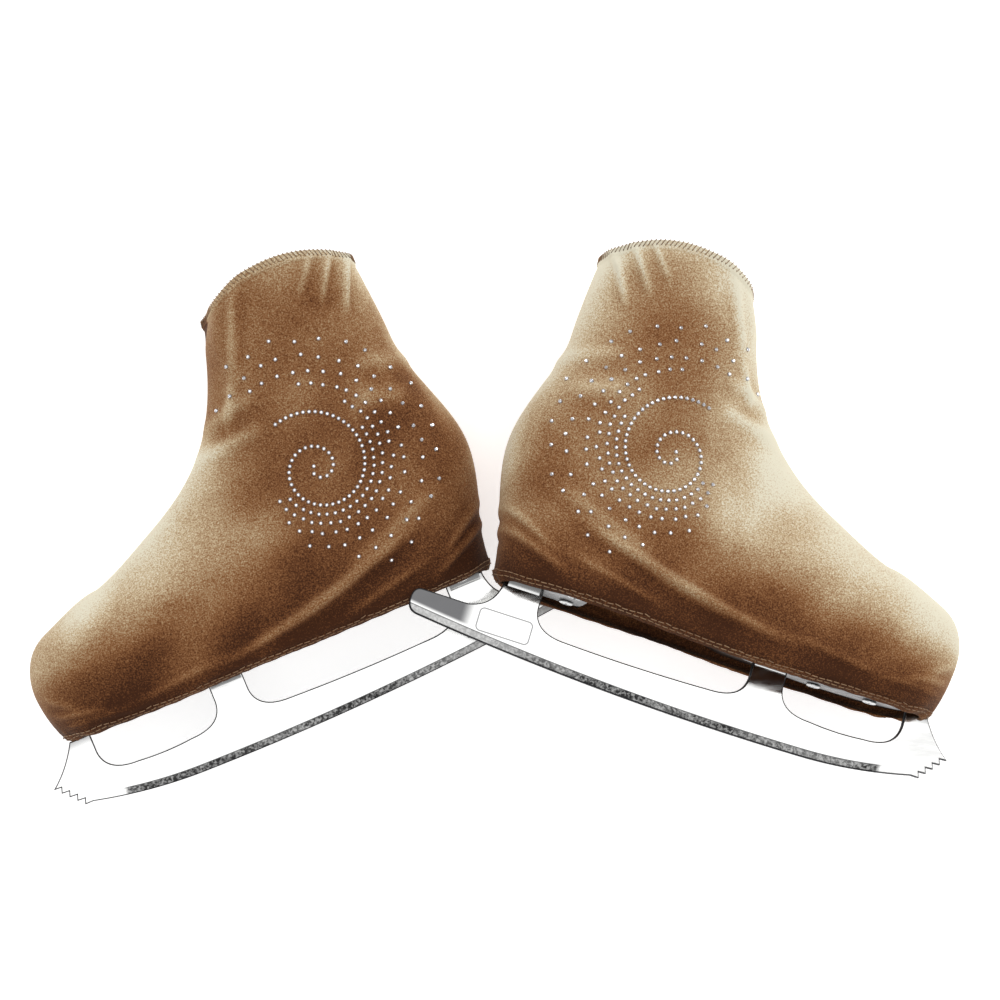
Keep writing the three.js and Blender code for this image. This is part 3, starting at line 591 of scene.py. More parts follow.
# polished steel: scratches vary the gloss, and patches vary the tint by a tenth
def makeSteel(name, tint, roughness, marked=False):
    material, tree, shader = blankMaterial(name)
    coords = tree.nodes.new("ShaderNodeTexCoord").outputs["Object"]
    scratches = place(tree, scratchTree, coords, Scale=240.0, Depth=0.00003).outputs["Mask"]
    patches = place(tree, patchTree, coords, Scale=26.0, Low=0.35, High=0.7).outputs["Mask"]
    color = mixColor(tree, patches, tint, tuple(0.9 * c for c in tint))
    rough = mapRange(tree, scratches, 0.35, 0.7, roughness * 0.6, roughness * 1.5)
    if marked:
        color, rough = markBlade(tree, coords, color, rough)
    bump = tree.nodes.new("ShaderNodeBump")
    bump.inputs["Strength"].default_value = 0.2
    bump.inputs["Distance"].default_value = 0.00003
    tree.links.new(scratches, bump.inputs["Height"])
    tree.links.new(color, shader.inputs["Base Color"])
    tree.links.new(rough, shader.inputs["Roughness"])
    tree.links.new(bump.outputs["Normal"], shader.inputs["Normal"])
    shader.inputs["Metallic"].default_value = 1.0
    return material


# a clear stone: small bright and dull patches, with the tone attribute darkening its foot in painted shade
def makeStone():
    material, tree, shader = blankMaterial("clearStone")
    coords = tree.nodes.new("ShaderNodeTexCoord").outputs["Object"]
    patches = place(tree, patchTree, coords, Scale=900.0, Low=0.35, High=0.65).outputs["Mask"]
    facet = mixColor(tree, patches, (0.95, 0.96, 1.0), (0.62, 0.62, 0.66))
    # painted shade: the foot of each stone, where it meets the cloth, is dark
    lit = mapRange(tree, attribute(tree, "tone").outputs["Fac"], 0.1, 0.55)
    tree.links.new(mixColor(tree, lit, (0.05, 0.035, 0.025), facet), shader.inputs["Base Color"])
    shader.inputs["Metallic"].default_value = 0.85
    shader.inputs["Roughness"].default_value = 0.06
    shader.inputs["Coat Weight"].default_value = 1.0
    return material


finishes = dict(
    velvet=makeVelvet("coverVelvet"),
    thread=makeSoft("sewingThread", (0.24, 0.13, 0.065), (0.36, 0.22, 0.12), 0.75, 2600.0, 0.0001),
    leather=makeSoft("bootLeather", (0.78, 0.73, 0.65), (0.84, 0.80, 0.73), 0.42, 900.0, 0.00015),
    lining=makeSoft("collarLining", (0.52, 0.40, 0.27), (0.60, 0.47, 0.33), 0.85, 1500.0, 0.0002),
    sole=makeSoft("soleLeather", (0.022, 0.010, 0.006), (0.040, 0.020, 0.012), 0.62, 700.0, 0.0001),
    blade=makeSteel("bladeSteel", (0.86, 0.86, 0.85), 0.14, marked=True),
    # painted shade: the plates' steel is darkened for the boot's shadow over them, while the screws keep
    # bright steel
    plate=makeSteel("plateSteelPaintedShade", (0.17, 0.17, 0.175), 0.30),
    screw=makeSteel("screwSteel", (0.72, 0.72, 0.72), 0.30),
    stone=makeStone(),
)
print("materials made")


def finish(piece, look):
    piece.data.materials.clear()
    piece.data.materials.append(finishes[look])
    return piece


# fixes a rigid piece to one body and hides the CAD nodes that it stands for
def fixTo(piece, side, body, *nodes):
    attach(piece, f"{side}_{body}")
    if nodes:
        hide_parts(*[f"{side}_{node}" for node in nodes])


def bendAtAnkle(piece, side, *nodes):
    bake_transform(piece)
    if nodes:
        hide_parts(*[f"{side}_{node}" for node in nodes])


# how far the stretched hem hangs below its level line: (x, drop) pairs on the outer side, then the inner side
hemHang = dict(
    left=(((-5, 0.6), (120, 1.5), (235, 1.3), (252, 0.0)), ((0, 1.0), (250, 0.5))),
    right=(((-5, 3.5), (60, 4.6), (150, 8.6), (225, 7.4), (252, 4.4)), ((0, 2.2), (120, 3.4), (245, 3.0))),
)


# moves the lowest part of the cover down by the hang, fading out upwards
def hangHem(side, grid):
    x, y, z = np.moveaxis(grid, -1, 0)
    outer, inner = (through(x, *pairs) for pairs in hemHang[side])
    drop = inner + (outer - inner) * smooth(y, -12, 12)
    return np.stack([x, y, z - drop * smooth(78 - z, 0, 30)], -1)


coverSettings = dict(
    columns=240, hemRows=18, topRows=20, middleRows=150, hemSpan=9.0, topSpan=9.0,
    hemBand=6.0, hemRoll=0.7, topBand=5.0, topRoll=0.8, undulation=0.55, foldScale=1.35, deepest=-0.5,
    waves=((0.02, 0.09), (-0.05, 0.05), (-0.09, 0.09), (0, 6)),
)
# folds: (x, z) at each end, width and height in mm
coverFolds = [
    ((22, 84), (122, 53), 3.4, 2.0), ((42, 76), (146, 51), 2.8, 1.7), ((66, 66), (168, 50), 2.4, 1.2),
    ((10, 96), (78, 72), 4.0, 1.3), ((-8, 70), (30, 51), 2.2, 1.7), ((-11, 82), (22, 60), 2.2, 1.3),
    ((30, 62), (84, 50), 2.0, 1.2), ((150, 56), (212, 50), 2.0, 1.1), ((6, 236), (20, 203), 1.9, 2.0),
    ((15, 240), (31, 212), 1.8, 2.0), ((25, 242), (40, 222), 1.6, 1.5), ((72, 242), (90, 196), 2.6, 1.2),
    ((84, 182), (116, 174), 4.0, 1.4), ((84, 164), (126, 160), 4.4, 1.3), ((2, 150), (34, 158), 5.0, 1.0),
    ((-8, 168), (28, 178), 4.4, 0.9), ((222, 54), (252, 60), 2.0, 1.4), ((210, 50), (250, 53), 1.8, 1.2),
    ((236, 60), (254, 72), 2.2, 0.9), ((90, 196), (104, 168), 2.4, 1.2),
]


# a fold is a ridge: a bell across its line, fading out towards both ends
def foldHeight(x, z, start, end, width, height):
    dx, dz = end[0] - start[0], end[1] - start[1]
    length = math.hypot(dx, dz)
    along = ((x - start[0]) * dx + (z - start[1]) * dz) / length**2
    across = ((x - start[0]) * dz - (z - start[1]) * dx) / length
    fade = smooth(along, -0.1, 0.3) * smooth(1 - along, -0.1, 0.3)
    ridge = np.exp(-((across / width) ** 2))
    dip = 0.35 * np.exp(-(((across - 2 * width) / width) ** 2))
    return height * fade * (ridge - dip)


# outward push of the cover at each grid point: folds, puckers that die away above the lower hem,
# slow waves, and the two rolled hems
def coverPush(grid, hemAway, topAway, waves):
    x, y, z = np.moveaxis(grid, -1, 0)
    push = np.zeros(x.shape)
    for start, end, width, height in coverFolds:
        push += coverSettings["foldScale"] * foldHeight(x, z, start, end, width, height)
    ends = np.exp(-(((x - 252) / 20) ** 2)) + 0.7 * np.exp(-(((x + 2) / 16) ** 2)) + 0.25
    reach = np.arctan2(y, x - 130) * 60
    push += 0.75 * ends * np.exp(-hemAway / 9) * np.sin(reach * 0.9 + 1.4 * np.sin(reach * 0.23))
    for wx, wy, wz, phase in waves:
        push += coverSettings["undulation"] * np.sin(x * wx + y * wy + z * wz + phase) / len(waves) * 2
    push += coverSettings["hemRoll"] * smooth(coverSettings["hemBand"] - hemAway, -0.6, 0.6)
    push += coverSettings["topRoll"] * smooth(coverSettings["topBand"] - topAway, -0.6, 0.6)
    return np.maximum(push, coverSettings["deepest"])


# tone of the velvet: a rise from the hem to the collar, plus painted sheen: a pale band along the front line
# whose width and strength change with height, a thin one down the back and one below the collar. Painted
# shade darkens the collar's front beak, and the folds carry painted light on their ridges and painted shade
# in their hollows
toneSettings = dict(
    rise=((-4, 0.02), (20, 0.20), (42, 0.30), (62, 0.37), (105, 0.40), (145, 0.43), (185, 0.48)),
    wave=0.016, foldShading=0.12, base=-0.03,
    # painted light: the right skate's settings are paler than the left's, a lit and a shaded copy of one
    # velvet
    left=dict(
        lift=-0.01, shaft=0.10, collar=0.30, collarReach=12.0, back=0.34, backReach=5.0, toe=0.46,
        reach=((30, 31), (62, 48), (100, 22), (142, 10)),
    ),
    right=dict(
        lift=0.05, shaft=0.46, collar=0.46, collarReach=22.0, back=0.46, backReach=11.0, toe=0.70,
        reach=((30, 56), (62, 78), (102, 44), (142, 22)),
    ),
)


def coverTone(side, grid, topAway, waves, push):
    x, y, z = np.moveaxis(grid, -1, 0)
    s = toneSettings[side]
    h = z - boot["soleHeight"] + 3
    low = through(h, *toneSettings["rise"])
    flat = grid[..., [0, 2]].reshape(-1, 1, 2)
    front = np.linalg.norm(flat - outline[None, 4:], axis=-1).min(axis=1).reshape(x.shape)
    strength = through(h, (4, 0.12), (44, s["toe"]), (88, 0.66), (112, 0.62), (138, s["shaft"]))
    reach = through(h, *s["reach"])
    # painted sheen: pale bands along the front line, down the back and below the collar
    paintedSheen = strength * np.exp(-((front / reach) ** 1.6))
    back = s["back"] * np.exp(-((x - backX(z)) / s["backReach"])) * smooth(h, 14, 60)
    collar = s["collar"] * np.exp(-topAway / s["collarReach"])
    # painted shade: a dark patch on the collar's front, where the inner side stands out past the outer
    beakShade = 0.55 * smooth(z, 204, 226) * smooth(x, 76, 82) * (1 - smooth(np.abs(y + 6), 8, 15))
    tone = low + s["lift"] + paintedSheen + back + collar - beakShade
    for wx, wy, wz, phase in waves:
        tone = tone + toneSettings["wave"] * np.sin(1.9 * (x * wx + y * wy + z * wz) + 2 * phase)
    # painted light and shade: the folds' ridges are lighter and their hollows darker
    return tone + toneSettings["foldShading"] * np.clip(push, -0.8, 2.4) + toneSettings["base"]


def arcAway(grid):
    steps = np.linalg.norm(np.diff(grid, axis=0), axis=-1)
    return np.concatenate([np.zeros((1, grid.shape[1])), np.cumsum(steps, axis=0)])


def makeCover(side):
    s = coverSettings
    total = outlineLength[-1]
    hemPart = np.linspace(0, s["hemSpan"], s["hemRows"], endpoint=False) / total
    topPart = 1 - np.linspace(s["topSpan"], 0, s["topRows"]) / total
    middlePart = np.linspace(hemPart[-1] + 0.003, topPart[0], s["middleRows"], endpoint=False)
    t = np.concatenate([hemPart, middlePart, topPart])
    u = np.arange(s["columns"]) / s["columns"]
    waves = np.stack([rng.uniform(low, high, 9) for low, high in s["waves"]], 1)
    outer = hangHem(side, layerGrid(u, t, (0, 0, 0)))
    inner = hangHem(side, layerGrid(u, t, (boot["coverWall"],) * 3))
    normals = gridNormals(outer)
    away = arcAway(outer)
    push = coverPush(outer, away, away[-1:] - away, waves)
    tone = coverTone(side, outer, away[-1:] - away, waves, push - push.mean())
    outer = outer + normals * push[..., None]
    piece = slab(f"{side}_cover", side, outer, inner, True, tone)
    finish(piece, "velvet")
    bendAtAnkle(piece, side, "cover_foot", "cover_shaft", "cover_top_hem", "cover_sole_hem")
    return outer, gridNormals(outer), away, piece


stoneSettings = dict(
    centre=(66.0, 131.0), radius=1.3, step=3.3, start=2.4, growth=11.5, power=1.45, turns=1.98,
    firstAngle=60.0,
)


# radius of the swirl after a share of turns: the start plus growth times the share to a power
def swirlRadius(turns, extra=0.0):
    return stoneSettings["start"] + extra + stoneSettings["growth"] * turns ** stoneSettings["power"]


def swirlSpot(turns, extra=0.0):
    s = stoneSettings
    angle = math.radians(s["firstAngle"]) - 2 * math.pi * turns
    radius = swirlRadius(turns, extra)
    return s["centre"][0] + radius * math.cos(angle), s["centre"][1] + radius * math.sin(angle)


# one swirl, close rows that follow it outside along the bottom, and wider rows that scatter behind it
def stoneSpots():
    s = stoneSettings
    spots = []
    turns = 0.05
    while turns < s["turns"]:
        spots.append(swirlSpot(turns))
        turns += s["step"] / (2 * math.pi * swirlRadius(turns))
    rows = [(5.0, 1.24, 1.74, 4.4, 0.2), (10.0, 1.22, 1.80, 5.2, 0.5), (15.5, 1.28, 1.90, 6.4, 0.9),
            (22.5, 1.34, 1.98, 8.8, 1.6), (31.0, 1.42, 2.02, 11.0, 2.2), (40.0, 1.46, 1.98, 13.5, 2.6)]
    for extra, fromTurns, toTurns, step, loose in rows:
        turns = fromTurns
        while turns < toTurns:
            x, z = swirlSpot(turns, extra)
            spots.append((x + rng.normal(0, loose * 0.5), z + rng.normal(0, loose * 0.5)))
            turns += step / (2 * math.pi * swirlRadius(turns, extra))
    return np.array(spots)


# a cut stone: rings of eight points that step in as they rise, with a flat top
def stoneShape():
    rings = [(1.0, -0.25), (1.0, 0.15), (0.72, 0.62), (0.42, 0.86)]
    angle = np.arange(8) / 8 * 2 * math.pi
    points = [np.stack([r * np.cos(angle), r * np.sin(angle), np.full(8, h)], 1) for r, h in rings]
    return np.stack(points)


def makeStones(side, outer, normals, spots):
    flat = outer.reshape(-1, 3)
    facing = normals.reshape(-1, 3)
    keep = (flat[:, 1] > 5) & (facing[:, 1] > 0.35)
    flat, facing = flat[keep], facing[keep]
    inside = [i for i, (x, z) in enumerate(spots) if np.hypot(flat[:, 0] - x, flat[:, 2] - z).min() < 2.5]
    spots = spots[inside]
    near = np.array([np.hypot(flat[:, 0] - x, flat[:, 2] - z).argmin() for x, z in spots])
    base, up = flat[near], facing[near]
    dx, dz = spots[:, 0] - base[:, 0], spots[:, 1] - base[:, 2]
    y = base[:, 1] - (up[:, 0] * dx + up[:, 2] * dz) / up[:, 1]
    centre = np.stack([spots[:, 0], y, spots[:, 1]], 1)
    one = np.cross(up, [0, 0, 1.0])
    one /= np.linalg.norm(one, axis=1, keepdims=True)
    two = np.cross(up, one)
    shape = stoneShape() * stoneSettings["radius"]
    corners = (
        centre[:, None, None]
        + shape[None, ..., 0:1] * one[:, None, None]
        + shape[None, ..., 1:2] * two[:, None, None]
        + shape[None, ..., 2:3] * up[:, None, None]
    )
    faces = []
    for i in range(len(spots)):
        faces += tubeFaces(4, 8, i * 32)
    # tone runs from the stone's foot to its top; the shader paints shade at the foot
    tone = np.broadcast_to(np.repeat([0.0, 0.25, 0.8, 1.0], 8), (len(spots), 32))
    piece = addPiece(f"{side}_stones", side, corners, faces, smoothFaces=False, tone=tone)
    finish(piece, "stone")
    bendAtAnkle(piece, side)


threadSettings = dict(radius=0.28, zigzag=2.5, overlockDepth=3.4, stitch=3.2, gap=1.0, hemLine=6.0, lift=0.1)


# point and normal on the cover at a distance from one edge, at evenly spaced places round it
def edgeLine(outer, normals, away, distance, spacing, fromTop):
    measure = away[-1:] - away if fromTop else away
    row = np.abs(measure - distance).argmin(axis=0)
    columns = np.arange(outer.shape[1])
    line, facing = outer[row, columns], normals[row, columns]
    closed = np.concatenate([line, line[:1]])
    lengths = np.concatenate([[0], np.cumsum(np.linalg.norm(np.diff(closed, axis=0), axis=1))])
    count = int(lengths[-1] / spacing)
    at = np.linspace(0, lengths[-1], count, endpoint=False)
    facingClosed = np.concatenate([facing, facing[:1]])
    spots = np.stack([np.interp(at, lengths, closed[:, k]) for k in range(3)], 1)
    turned = np.stack([np.interp(at, lengths, facingClosed[:, k]) for k in range(3)], 1)
    return spots, turned / np.linalg.norm(turned, axis=1, keepdims=True)


def makeStitches(side, outer, normals, away):
    s = threadSettings
    edge, edgeOut = edgeLine(outer, normals, away, 0.0, s["zigzag"], True)
    deep, deepOut = edgeLine(outer, normals, away, s["overlockDepth"], s["zigzag"], True)
    count = min(len(edge), len(deep))
    matched = np.linspace(0, len(deep) - 1, count).astype(int)
    over = edge[:count] + (edge[:count] - deep[matched]) * 0.12
    inside = over - edgeOut[:count] * 1.6
    foot = deep[matched] + deepOut[matched] * 0.25
    path = np.stack([foot, over + edgeOut[:count] * 0.2, inside], 1).reshape(-1, 3)
    rings = tube(path, s["radius"])
    piece = addPiece(f"{side}_overlock", side, rings, tubeFaces(len(path), 6), soft=True)
    finish(piece, "thread")
    fixTo(piece, side, "shaft")
    points, faces = [], []
    for line in (s["hemLine"], s["hemLine"] - 2.2):
        spots, facing = edgeLine(outer, normals, away, line, s["stitch"] + s["gap"], False)
        step = np.roll(spots, -1, axis=0) - spots
        step /= np.linalg.norm(step, axis=1, keepdims=True)
        for spot, out, along in zip(spots, facing, step):
            share = np.linspace(-0.5, 0.5, 5)[:, None]
            arch = (0.5 - 2 * share**2) * 0.3
            stitch = spot + along * share * s["stitch"] + out * (s["lift"] + arch)
            faces += tubeFaces(5, 6, len(points) * 30)
            points.append(tube(stitch, s["radius"]))
    piece = addPiece(f"{side}_hem_stitches", side, np.concatenate(points), faces, soft=True)
    finish(piece, "thread")
    fixTo(piece, side, "foot")


upperSettings = dict(rows=70, columns=120, throatHalf=17.0, throatX=182.0, collarDrop=6.0, padDepth=42.0,
                     padding=3.6, padRoll=2.2, tongueHalf=24.0, tongueWall=4.5, tongueRise=3.0)


# a ring cut open at the front: each row is measured round from the front and resampled between two places
# whose |y| is the given half gap
def openRings(grid, halfGap, count):
    rows = []
    for ring, gap in zip(grid, np.broadcast_to(halfGap, grid.shape[0])):
        n = len(ring)
        # from the front over the inner side, the back and the outer side to the front again
        turned = np.concatenate([ring[n // 2:], ring[: n // 2 + 1]])
        swing = -boot["toeInswing"] * smooth(turned[:, 0], 130, boot["noseX"])
        beside = np.abs(turned[:, 1] - swing)
        half = len(turned) // 2
        quarter = np.arange(half // 2)
        first = np.interp(gap, np.maximum.accumulate(beside[: half // 2]), quarter)
        back = turned[::-1]
        besideBack = np.abs(back[:, 1] - swing[::-1])
        fromEnd = np.interp(gap, np.maximum.accumulate(besideBack[: half // 2]), quarter)
        last = len(turned) - 1 - fromEnd
        at = np.linspace(first, last, count)
        rows.append(np.stack([np.interp(at, np.arange(len(turned)), turned[:, k]) for k in range(3)], 1))
    return np.stack(rows)


# drops the part of each column that lies below the outsole's top and spreads the rows over the rest
def aboveSole(grid):
    rows = len(grid)
    lift = grid[..., 2] - (soleZ(grid[..., 0]) + soleSettings["wall"] + 0.4)
    below = (lift < 0).sum(axis=0).clip(0, rows - 2)
    at = below[None, :] + (rows - 1 - below)[None, :] * np.linspace(0, 1, rows)[:, None]
    low = np.minimum(at.astype(int), rows - 2)
    share = (at - low)[..., None]
    column = np.arange(grid.shape[1])[None, :]
    return grid[low, column] * (1 - share) + grid[low + 1, column] * share


def deeper(inset, by):
    return tuple(v + by for v in inset)


bootInset = (boot["coverWall"] + boot["slack"], boot["coverWall"] + boot["slack"], boot["throatSlack"])


def rowsBetween(fromMm, toMm, count):
    return np.linspace(fromMm, toMm, count) / outlineLength[-1]


def makeUpper(side):
    s = upperSettings
    total = outlineLength[-1]
    u = np.arange(s["columns"] * 2) / (s["columns"] * 2)
    t = rowsBetween(14.0, total - s["collarDrop"], s["rows"])
    outerAll = layerGrid(u, t, bootInset)
    frontEnd = outerAll[:, len(u) // 2, 0]
    gap = 0.4 + (s["throatHalf"] - 0.4) * smooth(s["throatX"] - frontEnd, 0, 14)
    outer = openRings(outerAll, gap, s["columns"])
    inner = openRings(layerGrid(u, t, deeper(bootInset, boot["leather"])), gap, s["columns"])
    outer, inner = aboveSole(outer), aboveSole(inner)
    piece = finish(slab(f"{side}_boot_upper", side, outer, inner, False), "leather")
    bendAtAnkle(piece, side, "vamp", "outer_quarter", "inner_quarter")

    # lining: thin down in the boot and swelling to a padded roll at the collar
    t = rowsBetween(20.0, total - s["collarDrop"] - 0.6, s["rows"])
    left = (total * (1 - t))[:, None, None]
    lineInset = deeper(bootInset, boot["leather"] + 0.35)
    gap = 0.4 + (s["tongueHalf"] + 1.5) * smooth(s["throatX"] - frontEnd, 0, 14)
    outer = openRings(layerGrid(u, t, lineInset), gap, s["columns"])
    thin = openRings(layerGrid(u, t, deeper(lineInset, 1.4)), gap, s["columns"])
    thick = openRings(layerGrid(u, t, deeper(lineInset, 1.4 + s["padding"])), gap, s["columns"])
    swell = smooth(s["padDepth"] + s["collarDrop"] - left, 0, 12) * (0.78 + 0.22 * np.cos(left * 0.75) ** 2)
    rounding = smooth(left, s["collarDrop"], s["collarDrop"] + 5)
    inner = thin + (thick - thin) * swell * (0.35 + 0.65 * rounding)
    outer, inner = aboveSole(outer), aboveSole(inner)
    piece = finish(slab(f"{side}_collar_lining", side, outer, inner, False), "lining")
    bendAtAnkle(piece, side, "collar_padding")


# tongue: the front of a deeper layer, from one side's half gap over the front to the other's,
# swollen in the middle and thin at its edges
def makeTongue(side):
    s = upperSettings
    total = outlineLength[-1]
    u = np.arange(s["columns"] * 2) / (s["columns"] * 2)
    t = rowsBetween(0.34 * total, total - s["tongueRise"], s["rows"])
    inset = deeper(bootInset, boot["leather"] + 0.35)
    front = slice(len(u) // 4, len(u) * 3 // 4 + 1)

    def strip(grid):
        rows = []
        for ring in grid[:, front]:
            y = ring[:, 1] + boot["toeInswing"] * smooth(ring[:, 0], 130, boot["noseX"])
            half = min(s["tongueHalf"], 0.96 * y.max())
            at = np.linspace(half, -half, 41)
            rows.append(np.stack([np.interp(-at, -y, ring[:, k]) for k in range(3)], 1))
        return np.stack(rows)

    outer = strip(layerGrid(u, t, inset))
    deep = strip(layerGrid(u, t, deeper(inset, s["tongueWall"])))
    across = np.linspace(-1, 1, 41)[None, :, None]
    ends = smooth(np.linspace(0, 1, s["rows"]), 0, 0.05) * smooth(np.linspace(1, 0, s["rows"]), 0, 0.03)
    inner = outer + (deep - outer) * (0.3 + 0.7 * (1 - across**4)) * (0.4 + 0.6 * ends[:, None, None])
    piece = finish(slab(f"{side}_tongue", side, outer, inner, False), "lining")
    bendAtAnkle(piece, side, "lower_tongue", "upper_tongue")


soleSettings = dict(wall=7.0, inset=2.2, seatRise=29.0, heelLength=52.0, rake=9.0, archEnd=140.0,
                    gap=0.3, liftLines=4)


def soleZ(x):
    s = soleSettings
    top = s["heelLength"] + s["rake"]
    share = np.clip((s["archEnd"] - x) / (s["archEnd"] - top), 0, 1)
    return boot["soleHeight"] + s["seatRise"] * smooth(share, 0, 1)


# half width of the sole's plan at x, from the layer just above the sole's edge
def planHalf(x, extra=0.0):
    inset = soleSettings["inset"] + extra
    return halfWidth(x, np.full(np.shape(x), boot["soleHeight"] + 3.0), (inset, inset, inset))


# outsole: for each x a rounded rectangle in y and z, with x bunched at both ends by half of 1 - cos
def makeOutsole(side):
    s = soleSettings
    low = float(backX(np.array(boot["soleHeight"] + 3.0))) + s["inset"]
    high = boot["noseX"] - s["inset"]
    x = low + (high - low) * (1 - np.cos(np.linspace(0, math.pi, 130))) / 2
    half = np.maximum(planHalf(x), 0.05)
    swing = -boot["toeInswing"] * smooth(x, 130, boot["noseX"])
    angle = np.linspace(0, 2 * math.pi, 48, endpoint=False)
    across = np.sign(np.cos(angle)) * np.abs(np.cos(angle)) ** 0.22
    upward = np.sign(np.sin(angle)) * np.abs(np.sin(angle)) ** 0.22
    y = swing[:, None] + half[:, None] * across[None, :]
    thick = s["wall"] * np.minimum(1, half / 3)[:, None]
    z = (soleZ(x) + s["wall"] / 2)[:, None] + thick / 2 * upward[None, :]
    spots = np.stack([np.broadcast_to(x[:, None], y.shape), y, z], -1)
    piece = addPiece(f"{side}_outsole_finish", side, spots, tubeFaces(len(x), len(angle)))
    finish(piece, "sole")
    fixTo(piece, side, "foot", "outsole")


# heel: stacked leather lifts; each ring follows the sole's plan back from the breast, whose face leans
# forward, and every lift's joint is a small groove
def makeHeel(side):
    s = soleSettings
    top = boot["soleHeight"] + s["seatRise"] - s["gap"]
    z = np.linspace(boot["soleHeight"], top, 60)
    low = float(backX(np.array(boot["soleHeight"] + 3.0))) + s["inset"]
    share = (z - boot["soleHeight"]) / (top - boot["soleHeight"])
    breast = s["heelLength"] + (s["rake"] - s["gap"]) * share
    groove = 0.35 * np.exp(-(((share * s["liftLines"]) % 1 - 0.5) / 0.06) ** 2)
    bunch = (1 - np.cos(np.linspace(0, math.pi / 2, 36)))
    rings = []
    for height, front, cut in zip(z, breast, groove):
        x = low + cut + (front - low - cut) * bunch
        y = np.maximum(planHalf(x, cut), 0)
        flat = np.linspace(1, -1, 14)[1:-1]
        outward = np.stack([x, y], 1)
        breastLine = np.stack([np.full(12, front), flat * y[-1]], 1)
        ring = np.concatenate([outward, breastLine, np.stack([x[::-1], -y[::-1]], 1)[:-1]])
        rings.append(np.column_stack([ring, np.full(len(ring), height)]))
    rings = np.stack(rings)
    piece = addPiece(f"{side}_heel_finish", side, rings, tubeFaces(len(z), rings.shape[1]))
    finish(piece, "sole")
    fixTo(piece, side, "foot", "heel_stack")


bladeSettings = dict(
    half=2.0, tailX=-43.5, tailTop=24.5, rearPost=(14.5, 22.0), midPost=(158.5, 20.0), toePost=(245.0, 12.0),
    depth=19.5, corner=14.0, pickTop=(269.0, 23.0), pickLow=(256.0, 9.0), picks=5, pickDepth=3.2,
    plateWall=2.5, gap=0.3, edge=0.75, flare=3.0, flareHeight=6.0,
)


def rocker(x):
    s = bladeLook
    front = np.maximum(x - s["frontX"], 0) ** 2 / (2 * s["frontRadius"])
    return (x - s["rockerX"]) ** 2 / (2 * s["rockerRadius"]) + front


def quadratic(a, b, c, count=14):
    s = np.linspace(0, 1, count)[:, None]
    return np.array(a) * (1 - s) ** 2 + 2 * np.array(b) * s * (1 - s) + np.array(c) * s * s


# a window's rim from its top front corner down, along and up to its top back corner
def windowRim(back, front, top):
    s = bladeSettings
    low, corner = s["depth"], s["corner"]
    frontEnd = (front - corner * 1.4, low + 0.8)
    backEnd = (back + corner * 1.4, low + 0.8)
    return np.concatenate([
        [(front, top)],
        quadratic((front, low + corner), (front - 1, low + 1), frontEnd),
        quadratic(frontEnd, ((back + front) / 2, low - 0.8), backEnd),
        quadratic(backEnd, (back + 1, low + 1), (back, low + corner)),
        [(back, top)],
    ])


# the blade's outline: along the curved edge, up the picks, round the toe post and in and out of both windows
def bladeOutline():
    s = bladeSettings
    top = boot["soleHeight"] - s["plateWall"] - s["gap"]
    tail = s["tailX"]
    edgeX = np.linspace(tail + 6, s["pickLow"][0] - 5, 90)
    picks = []
    for i in range(s["picks"]):
        share = i / (s["picks"] - 1)
        x = s["pickLow"][0] + share * (s["pickTop"][0] - s["pickLow"][0])
        z = s["pickLow"][1] + share * (s["pickTop"][1] - s["pickLow"][1])
        picks.append((x, z))
        if i < s["picks"] - 1:
            picks.append((x - s["pickDepth"] * 0.35, z + s["pickDepth"]))
    toeBack, toeFront = (s["toePost"][0] + k * s["toePost"][1] / 2 for k in (-1, 1))
    midBack, midFront = (s["midPost"][0] + k * s["midPost"][1] / 2 for k in (-1, 1))
    rearBack, rearFront = (s["rearPost"][0] + k * s["rearPost"][1] / 2 for k in (-1, 1))
    bulge = (toeFront + 7, s["pickTop"][1] + 0.4 * (top - s["pickTop"][1]))
    middleTail = 0.5 * (s["tailTop"] + float(rocker(tail)))
    return np.concatenate([
        np.stack([edgeX, rocker(edgeX)], 1),
        picks,
        quadratic(s["pickTop"], bulge, (toeFront, top))[1:],
        windowRim(midFront, toeBack, top),
        windowRim(rearFront, midBack, top),
        quadratic((rearBack, top), (rearBack - 1, s["tailTop"] + 3), (rearBack - 16, s["tailTop"])),
        quadratic((tail + 5, s["tailTop"]), (tail, s["tailTop"]), (tail, middleTail)),
        quadratic((tail, middleTail), (tail, float(rocker(tail))), (tail + 6, float(rocker(tail + 6))))[:-1],
    ])


# fills flat outlines and gives them a thickness and a small round edge, through a flat curve
def flatPlate(outlines, half, edge):
    curve = bpy.data.curves.new("flat", "CURVE")
    curve.dimensions = "2D"
    curve.fill_mode = "BOTH"
    curve.extrude = half - edge
    curve.bevel_depth = edge
    curve.bevel_resolution = 2
    curve.offset = -edge
    for points in outlines:
        spline = curve.splines.new("POLY")
        spline.points.add(len(points) - 1)
        flat = np.column_stack([points, np.zeros(len(points)), np.ones(len(points))])
        spline.points.foreach_set("co", flat.ravel())
        spline.use_cyclic_u = True
    holder = bpy.data.objects.new("flat", curve)
    bpy.context.collection.objects.link(holder)
    bpy.context.view_layer.update()
    mesh = bpy.data.meshes.new_from_object(holder.evaluated_get(bpy.context.evaluated_depsgraph_get()))
    bpy.data.objects.remove(holder)
    work = bmesh.new()
    work.from_mesh(mesh)
    bmesh.ops.remove_doubles(work, verts=work.verts, dist=1e-4)
    work.to_mesh(mesh)
    work.free()
    points = np.zeros(len(mesh.vertices) * 3)
    mesh.vertices.foreach_get("co", points)
    faces = [list(p.vertices) for p in mesh.polygons]
    bpy.data.meshes.remove(mesh)
    return points.reshape(-1, 3), faces


